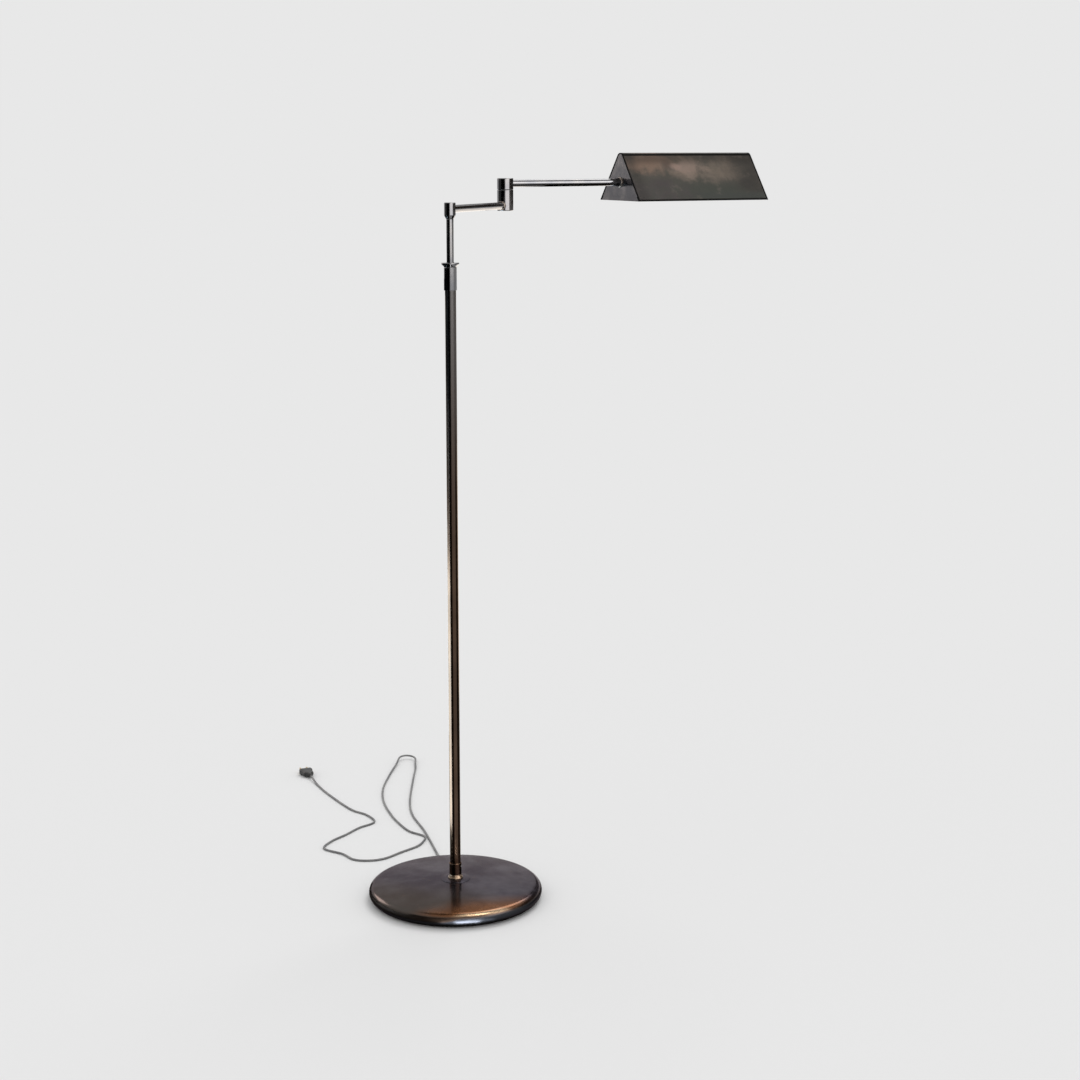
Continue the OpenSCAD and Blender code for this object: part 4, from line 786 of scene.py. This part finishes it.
tone = patina.mix(broad.step(0.35, 0.68), (0.047, 0.045, 0.040), (0.072, 0.062, 0.053))
tone = patina.mix(up.step(0.50, 0.22) * 0.85, tone, (0.035, 0.039, 0.034))
# The placed clouds, pale and dark, are partly patina and partly painted reflection of the room.
tone = patina.mix(cloud(0.16, 0.20, 0.26, 0.30) * 0.7, tone, (0.048, 0.040, 0.043))
tone = patina.mix(cloud(0.18, 0.80, 0.24, 0.26) * 0.9, tone, (0.132, 0.090, 0.069))
tone = patina.mix(cloud(0.58, 0.66, 0.30, 0.26) * 0.8, tone, (0.115, 0.094, 0.077))
tone = patina.mix(cloud(0.50, 0.69, 0.13, 0.14) * 0.75, tone, (0.172, 0.130, 0.111))
tone = patina.mix(cloud(0.36, 0.71, 0.05, 0.07) * 0.75, tone, (0.190, 0.135, 0.118))
tone = patina.mix(cloud(0.47, 0.51, 0.04, 0.06) * 0.6, tone, (0.150, 0.118, 0.100))
tone = patina.mix(along.step(0.70, 0.95) * 0.9, tone, (0.032, 0.029, 0.026))
tone = patina.mix(up.step(0.24, 0.10) * along.step(0.30, 0.60) * 0.9, tone, (0.038, 0.041, 0.038))
tone = patina.mix((up + drift * 0.02).step(0.70, 0.88) * 0.5, tone, (0.014, 0.011, 0.009))
tone = patina.mix((along + drift * 0.01).step(0.13, 0.04) * 0.55, tone, (0.020, 0.019, 0.018))
tone = patina.mix(cloud(0.31, 0.74, 0.04, 0.10) * 0.6, tone, (0.045, 0.030, 0.026))
tone = patina.mix(cloud(0.88, 0.34, 0.05, 0.10) * 0.6, tone, (0.028, 0.026, 0.025))
tone = patina.mix(fine.step(0.55, 0.75) * 0.3, tone, (0.120, 0.098, 0.086))
# A painted dark reflection in the fold under the ridge, and darker along the hem and the cut ends.
edges = up.step(0.925, 0.950) - up.step(0.972, 0.986) + up.step(0.055, 0.025)
edges = (edges + along.step(0.012, 0.006) + along.step(0.986, 0.992)).step(0.0, 1.0)
patina.set(
    base_color=patina.mix(edges, tone, (0.006, 0.006, 0.006)), metallic=0.7 + edges * 0.3,
    roughness=0.36 + fine.step(0.3, 0.7) * 0.12)
patina.relief(fine, 0.00005)
stand_in(sheet, patina, "shade_sheet")

buffed = Finish("dark patina, end plates", metallic=1.0)
haze = buffed.clouds(45, 5, 0.6)
buffed.set(
    base_color=buffed.mix(haze.step(0.35, 0.7), (0.120, 0.115, 0.123), (0.195, 0.180, 0.178)),
    roughness=0.18 + haze.step(0.4, 0.75) * 0.1)
for name in ("shade_end_inner", "shade_end_outer"):
    wear(parts[name], buffed)


# ---- Lamp holder, bulb and switch ----
# A steel strip riveted to the near plate hangs the moulded holder under the ridge. The bulb is a
# frosted tube in a bright screw cap, and a moulded key under the holder switches it.

BULB_Z = 1.1417


def bulb_axis(reach):
    """The bulb's axis, from a distance beyond the elbow in metres."""
    return (ELBOW[0] + reach, ELBOW[1], BULB_Z), (1, 0, 0)


wear(parts["lamp_bracket"], zinc)
moulding = Finish("moulded holder, black", roughness=0.38)
moulding.set(base_color=moulding.mix(
    moulding.clouds(90).step(0.3, 0.7), (0.016, 0.016, 0.016), (0.030, 0.029, 0.028)))
moulding.relief(moulding.clouds(1400, 2), 0.00006)
dome_line = [(235.5, 5.05), (235.5, 10.6), (239.9, 15.0), (249.5, 15.0), (249.5, 12.0), (239.9, 12.0),
             (239.9, 5.05)]
holder_dome = turned("holder_dome", soft(dome_line, 1.2), *bulb_axis(0), "shade", 64)
stand_in(holder_dome, moulding, "holder_cap")
shell_line = [(249.6, 10.5), (249.6, 16.0), (250.6, 16.6), (283.8, 16.6), (285.5, 16.2), (285.5, 13.9),
              (259.2, 13.9), (259.2, 10.5)]
holder_shell = turned("holder_shell", soft(shell_line, 0.8), *bulb_axis(0), "shade", 64)
stand_in(holder_shell, moulding, "holder_body")

grips = Grower("grip bars round an axis", Bars="Int", Radius="Float", Thickness="Float", Length="Float")
spots = grips.node("GeometryNodeMeshCircle", {"Vertices": grips["Bars"], "Radius": grips["Radius"]})
bar = grips.node("GeometryNodeMeshCylinder", {
    "Vertices": 10, "Radius": grips["Thickness"], "Depth": grips["Length"]})
grips.end(grips.node("GeometryNodeInstanceOnPoints", {"Points": spots, "Instance": bar}))
holder_grip = grips.grow(
    "holder_grip", "shade", moulding, facing(*bulb_axis(0.274)),
    Bars=32, Radius=0.0162, Thickness=0.0007, Length=0.0160)

NUT_LINE = [(0.0, 5.05), (0.0, 7.0), (0.5, 8.05), (4.0, 8.05), (4.5, 7.0), (4.5, 5.05)]
lock_nut = turned("holder_lock_nut", NUT_LINE, *bulb_axis(0.2294), "shade", 6, 20)
stand_in(lock_nut, zinc, "holder_nut")

rivets = Grower("rivets in a row", Rivets="Int", Apart="Float", Radius="Float")
spots = rivets.node("GeometryNodeMeshLine", {
    "Count": rivets["Rivets"], "Offset": rivets.node("ShaderNodeCombineXYZ", {"Y": rivets["Apart"]})})
head = rivets.node("GeometryNodeMeshUVSphere", {"Segments": 20, "Rings": 10, "Radius": rivets["Radius"]})
rivets.end(rivets.node("GeometryNodeInstanceOnPoints", {
    "Points": spots, "Instance": head, "Scale": (0.45, 1.0, 1.0)}))
RIVETS_APART = 0.0104
bracket_rivets = rivets.grow(
    "bracket_rivets", "shade", zinc, Matrix.Translation((0.3694, ELBOW[1] - RIVETS_APART / 2, 1.1597)),
    Rivets=2, Apart=RIVETS_APART, Radius=0.0019)

bright_cap = Finish("bulb cap, aluminium", metallic=1.0)
scuffs = bright_cap.clouds(300, 4, stretch=(1, 4, 4))
bright_cap.set(
    base_color=bright_cap.mix(scuffs.step(0.4, 0.7), (0.72, 0.72, 0.73), (0.56, 0.56, 0.57)),
    roughness=0.22 + scuffs * 0.2)
wear(parts["bulb_cap"], bright_cap)

frosted = Finish("frosted glass", roughness=0.35)
frosted.set(base_color=frosted.mix(frosted.clouds(60).step(0.3, 0.7), (0.80, 0.79, 0.75), (0.88, 0.87, 0.84)))
BULB_R, ROUND_FROM = 15, 97
tube_end = [(ROUND_FROM + BULB_R * math.sin(math.pi / 2 * k / 12), BULB_R * math.cos(math.pi / 2 * k / 12))
            for k in range(12)] + [(112.0, 0)]
neck = [(-6.0, 0), (-6.0, 11.9), (1.0, 11.9), (3.5, 12.3), (7.0, 14.2), (10.0, 15.0)]
bulb = turned("bulb_tube", neck + tube_end, *bulb_axis(0.2869), "shade", 48, 60)
stand_in(bulb, frosted, "bulb_glass")

key_root = Vector((ELBOW[0] + 0.2541, ELBOW[1], 1.1247))
key_rounds = [(0.0, 0.0019, 0.0019, 2), (0.0008, 0.0020, 0.0020, 2), (0.0052, 0.0020, 0.0016, 2),
              (0.0064, 0.0034, 0.0014, 2.4), (0.0076, 0.0052, 0.0014, 3.0), (0.0090, 0.0059, 0.0014, 4.0),
              (0.0118, 0.0060, 0.0015, 4.0), (0.0134, 0.0056, 0.0014, 3.4), (0.0140, 0.0048, 0.0010, 3.0)]
key = lofted("switch_wing", key_root, Vector((0, 0, -1)), Vector((0, 1, 0)), key_rounds, "switch")
stand_in(key, moulding, "switch_key")


# ---- Studio ----
# A pale floor that runs into a pale backdrop, and one broad soft lamp from the right and behind.
# Pale panels and black flags stand round the lamp and lie on the floor. They only show as streaks in
# the polished metal, and four small flags keep the floor panels' glints off the joints and the rim.

PAPER, AMBIENT = 0.807, 0.787
CAMERA_TURN = -117.5
FLOOR_HALF, FAR = 30.0, 5.0
bm = bmesh.new()
bmesh.ops.create_grid(bm, x_segments=1, y_segments=1, size=FLOOR_HALF)
floor_mesh = bpy.data.meshes.new("floor")
bm.to_mesh(floor_mesh)
bm.free()
floor = bpy.data.objects.new("floor", floor_mesh)
bpy.context.scene.collection.objects.link(floor)
paper = Finish("floor paper", roughness=0.9, specular_ior_level=0.0, base_color=(PAPER, PAPER, PAPER))
floor_mesh.materials.append(paper.material)

world = bpy.data.worlds.new("studio")
bpy.context.scene.world = world
world.use_nodes = True
air = Wiring(world.node_tree)
seen = air.node("ShaderNodeBackground", {}, {"Color": (PAPER, PAPER, PAPER)})
ambience = air.node("ShaderNodeBackground", {}, {"Color": (AMBIENT, AMBIENT, AMBIENT)})
straight, glossy, through = (
    air.node("ShaderNodeLightPath", {}, {}, "Is " + ray + " Ray") for ray in ("Camera", "Glossy", "Transmission"))
choice = air.node("ShaderNodeMixShader", {}, {0: straight + glossy + through, 1: ambience, 2: seen})
air.tree.links.new(choice.socket, air.tree.nodes["World Output"].inputs["Surface"])

sun_data = bpy.data.lights.new("soft_lamp", "SUN")
sun_data.energy = 0.85
sun_data.angle = math.radians(30)
sun = bpy.data.objects.new("soft_lamp", sun_data)
sun.rotation_euler = (math.radians(38), 0.0, math.radians(130))
bpy.context.scene.collection.objects.link(sun)


def card(name, turns, inner, outer, glow, tint=(1.0, 1.0, 1.0)):
    """A curved card round the pole, from one turn to the other as seen from the lamp, in degrees to the
    right of the camera. Its section runs from inner to outer, each a radius and a height."""
    low, high = (math.radians(CAMERA_TURN + turn) for turn in turns)
    steps = 24
    bm = bmesh.new()
    rows = [[bm.verts.new((radius * math.cos(low + (high - low) * k / steps),
                           radius * math.sin(low + (high - low) * k / steps), height))
             for k in range(steps + 1)] for radius, height in (inner, outer)]
    for k in range(steps):
        bm.faces.new((rows[0][k], rows[0][k + 1], rows[1][k + 1], rows[1][k]))
    mesh = bpy.data.meshes.new(name)
    bm.to_mesh(mesh)
    bm.free()
    screen = bpy.data.objects.new(name, mesh)
    bpy.context.scene.collection.objects.link(screen)
    for ray in ("camera", "diffuse", "transmission", "volume_scatter", "shadow"):
        setattr(screen, "visible_" + ray, False)
    cloth = Finish(name, base_color=(0.0, 0.0, 0.0), roughness=1.0, specular_ior_level=0.0,
                   emission_color=tint, emission_strength=glow)
    mesh.materials.append(cloth.material)


# Panels, windows and flags far round the lamp. One panel behind it lies on the floor.
card("soft_panel", (6, 62), (FAR, 0.78), (FAR, 3.2), 3.5, (1.0, 0.98, 0.97))
card("soft_panel_low", (-2, 62), (FAR, 0.2), (FAR, 0.78), 1.35)
card("side_panel_low", (62, 110), (FAR, 0.2), (FAR, 0.9), 0.85)
card("top_window", (40, 80), (4.2, 7.0), (1.6, 7.0), 9.0, (1.0, 0.93, 0.82))
card("side_panel_high", (48, 80), (4.9, 1.35), (4.9, 5.0), 4.5)
card("back_left_window", (-142, -116), (FAR, 1.7), (FAR, 3.6), 5.0, (1.0, 0.86, 0.82))
card("back_floor_panel", (128, 180), (1.2, 0.004), (FAR, 0.004), 2.4, (1.0, 0.93, 0.85))
card("left_flag_high", (-62, -4), (FAR, 0.9), (FAR, 3.6), 0.0)
card("left_flag_middle", (-106, -62), (FAR, 0.9), (FAR, 1.35), 0.10)
card("left_flag_low", (-130, -6), (FAR, 0.0), (FAR, 0.9), 0.0)
card("right_flag", (66, 172), (FAR, 0.9), (FAR, 3.4), 0.05, (1.0, 0.7, 0.5))
# Panels and flags on the floor, 3 to 5 mm above it. Where two overlap, one lies higher.
card("front_floor_panel", (2, 19), (0.146, 0.004), (0.182, 0.004), 42.0, (0.93, 0.96, 1.0))
card("front_floor_glow", (-8, 30), (0.146, 0.003), (0.182, 0.003), 4.0, (0.90, 0.95, 1.0))
card("left_floor_flag", (-125, -10), (0.143, 0.004), (FAR, 0.004), 0.03, (1.0, 0.7, 0.5))
card("right_floor_flag", (66, 125), (0.16, 0.004), (FAR, 0.004), 0.03, (1.0, 0.8, 0.6))
card("left_floor_glow", (-131, -62), (0.34, 0.005), (2.6, 0.005), 15.0, (0.66, 0.86, 1.0))
card("left_floor_glow_back", (-179, -131), (0.90, 0.005), (2.6, 0.005), 4.0, (0.86, 0.93, 1.0))
card("left_floor_glow_end", (-179, -62), (2.6, 0.005), (3.3, 0.005), 3.0, (0.80, 0.90, 1.0))
# Small flags under the collar, the ring and the elbow, and beside the rim.
card("collar_flag", (-179, -30), (0.0105, 0.972), (0.40, 0.972), 0.0)
card("ring_flag", (134, 157), (0.27, 1.10), (0.385, 1.10), 0.0)
card("elbow_flag", (159, 180), (0.15, 1.088), (0.235, 1.088), 0.0)
card("rim_flag", (-131, -45), (0.25, 0.0), (0.25, 0.03), 0.0)

view = bpy.context.scene.view_settings
view.view_transform = "Standard"
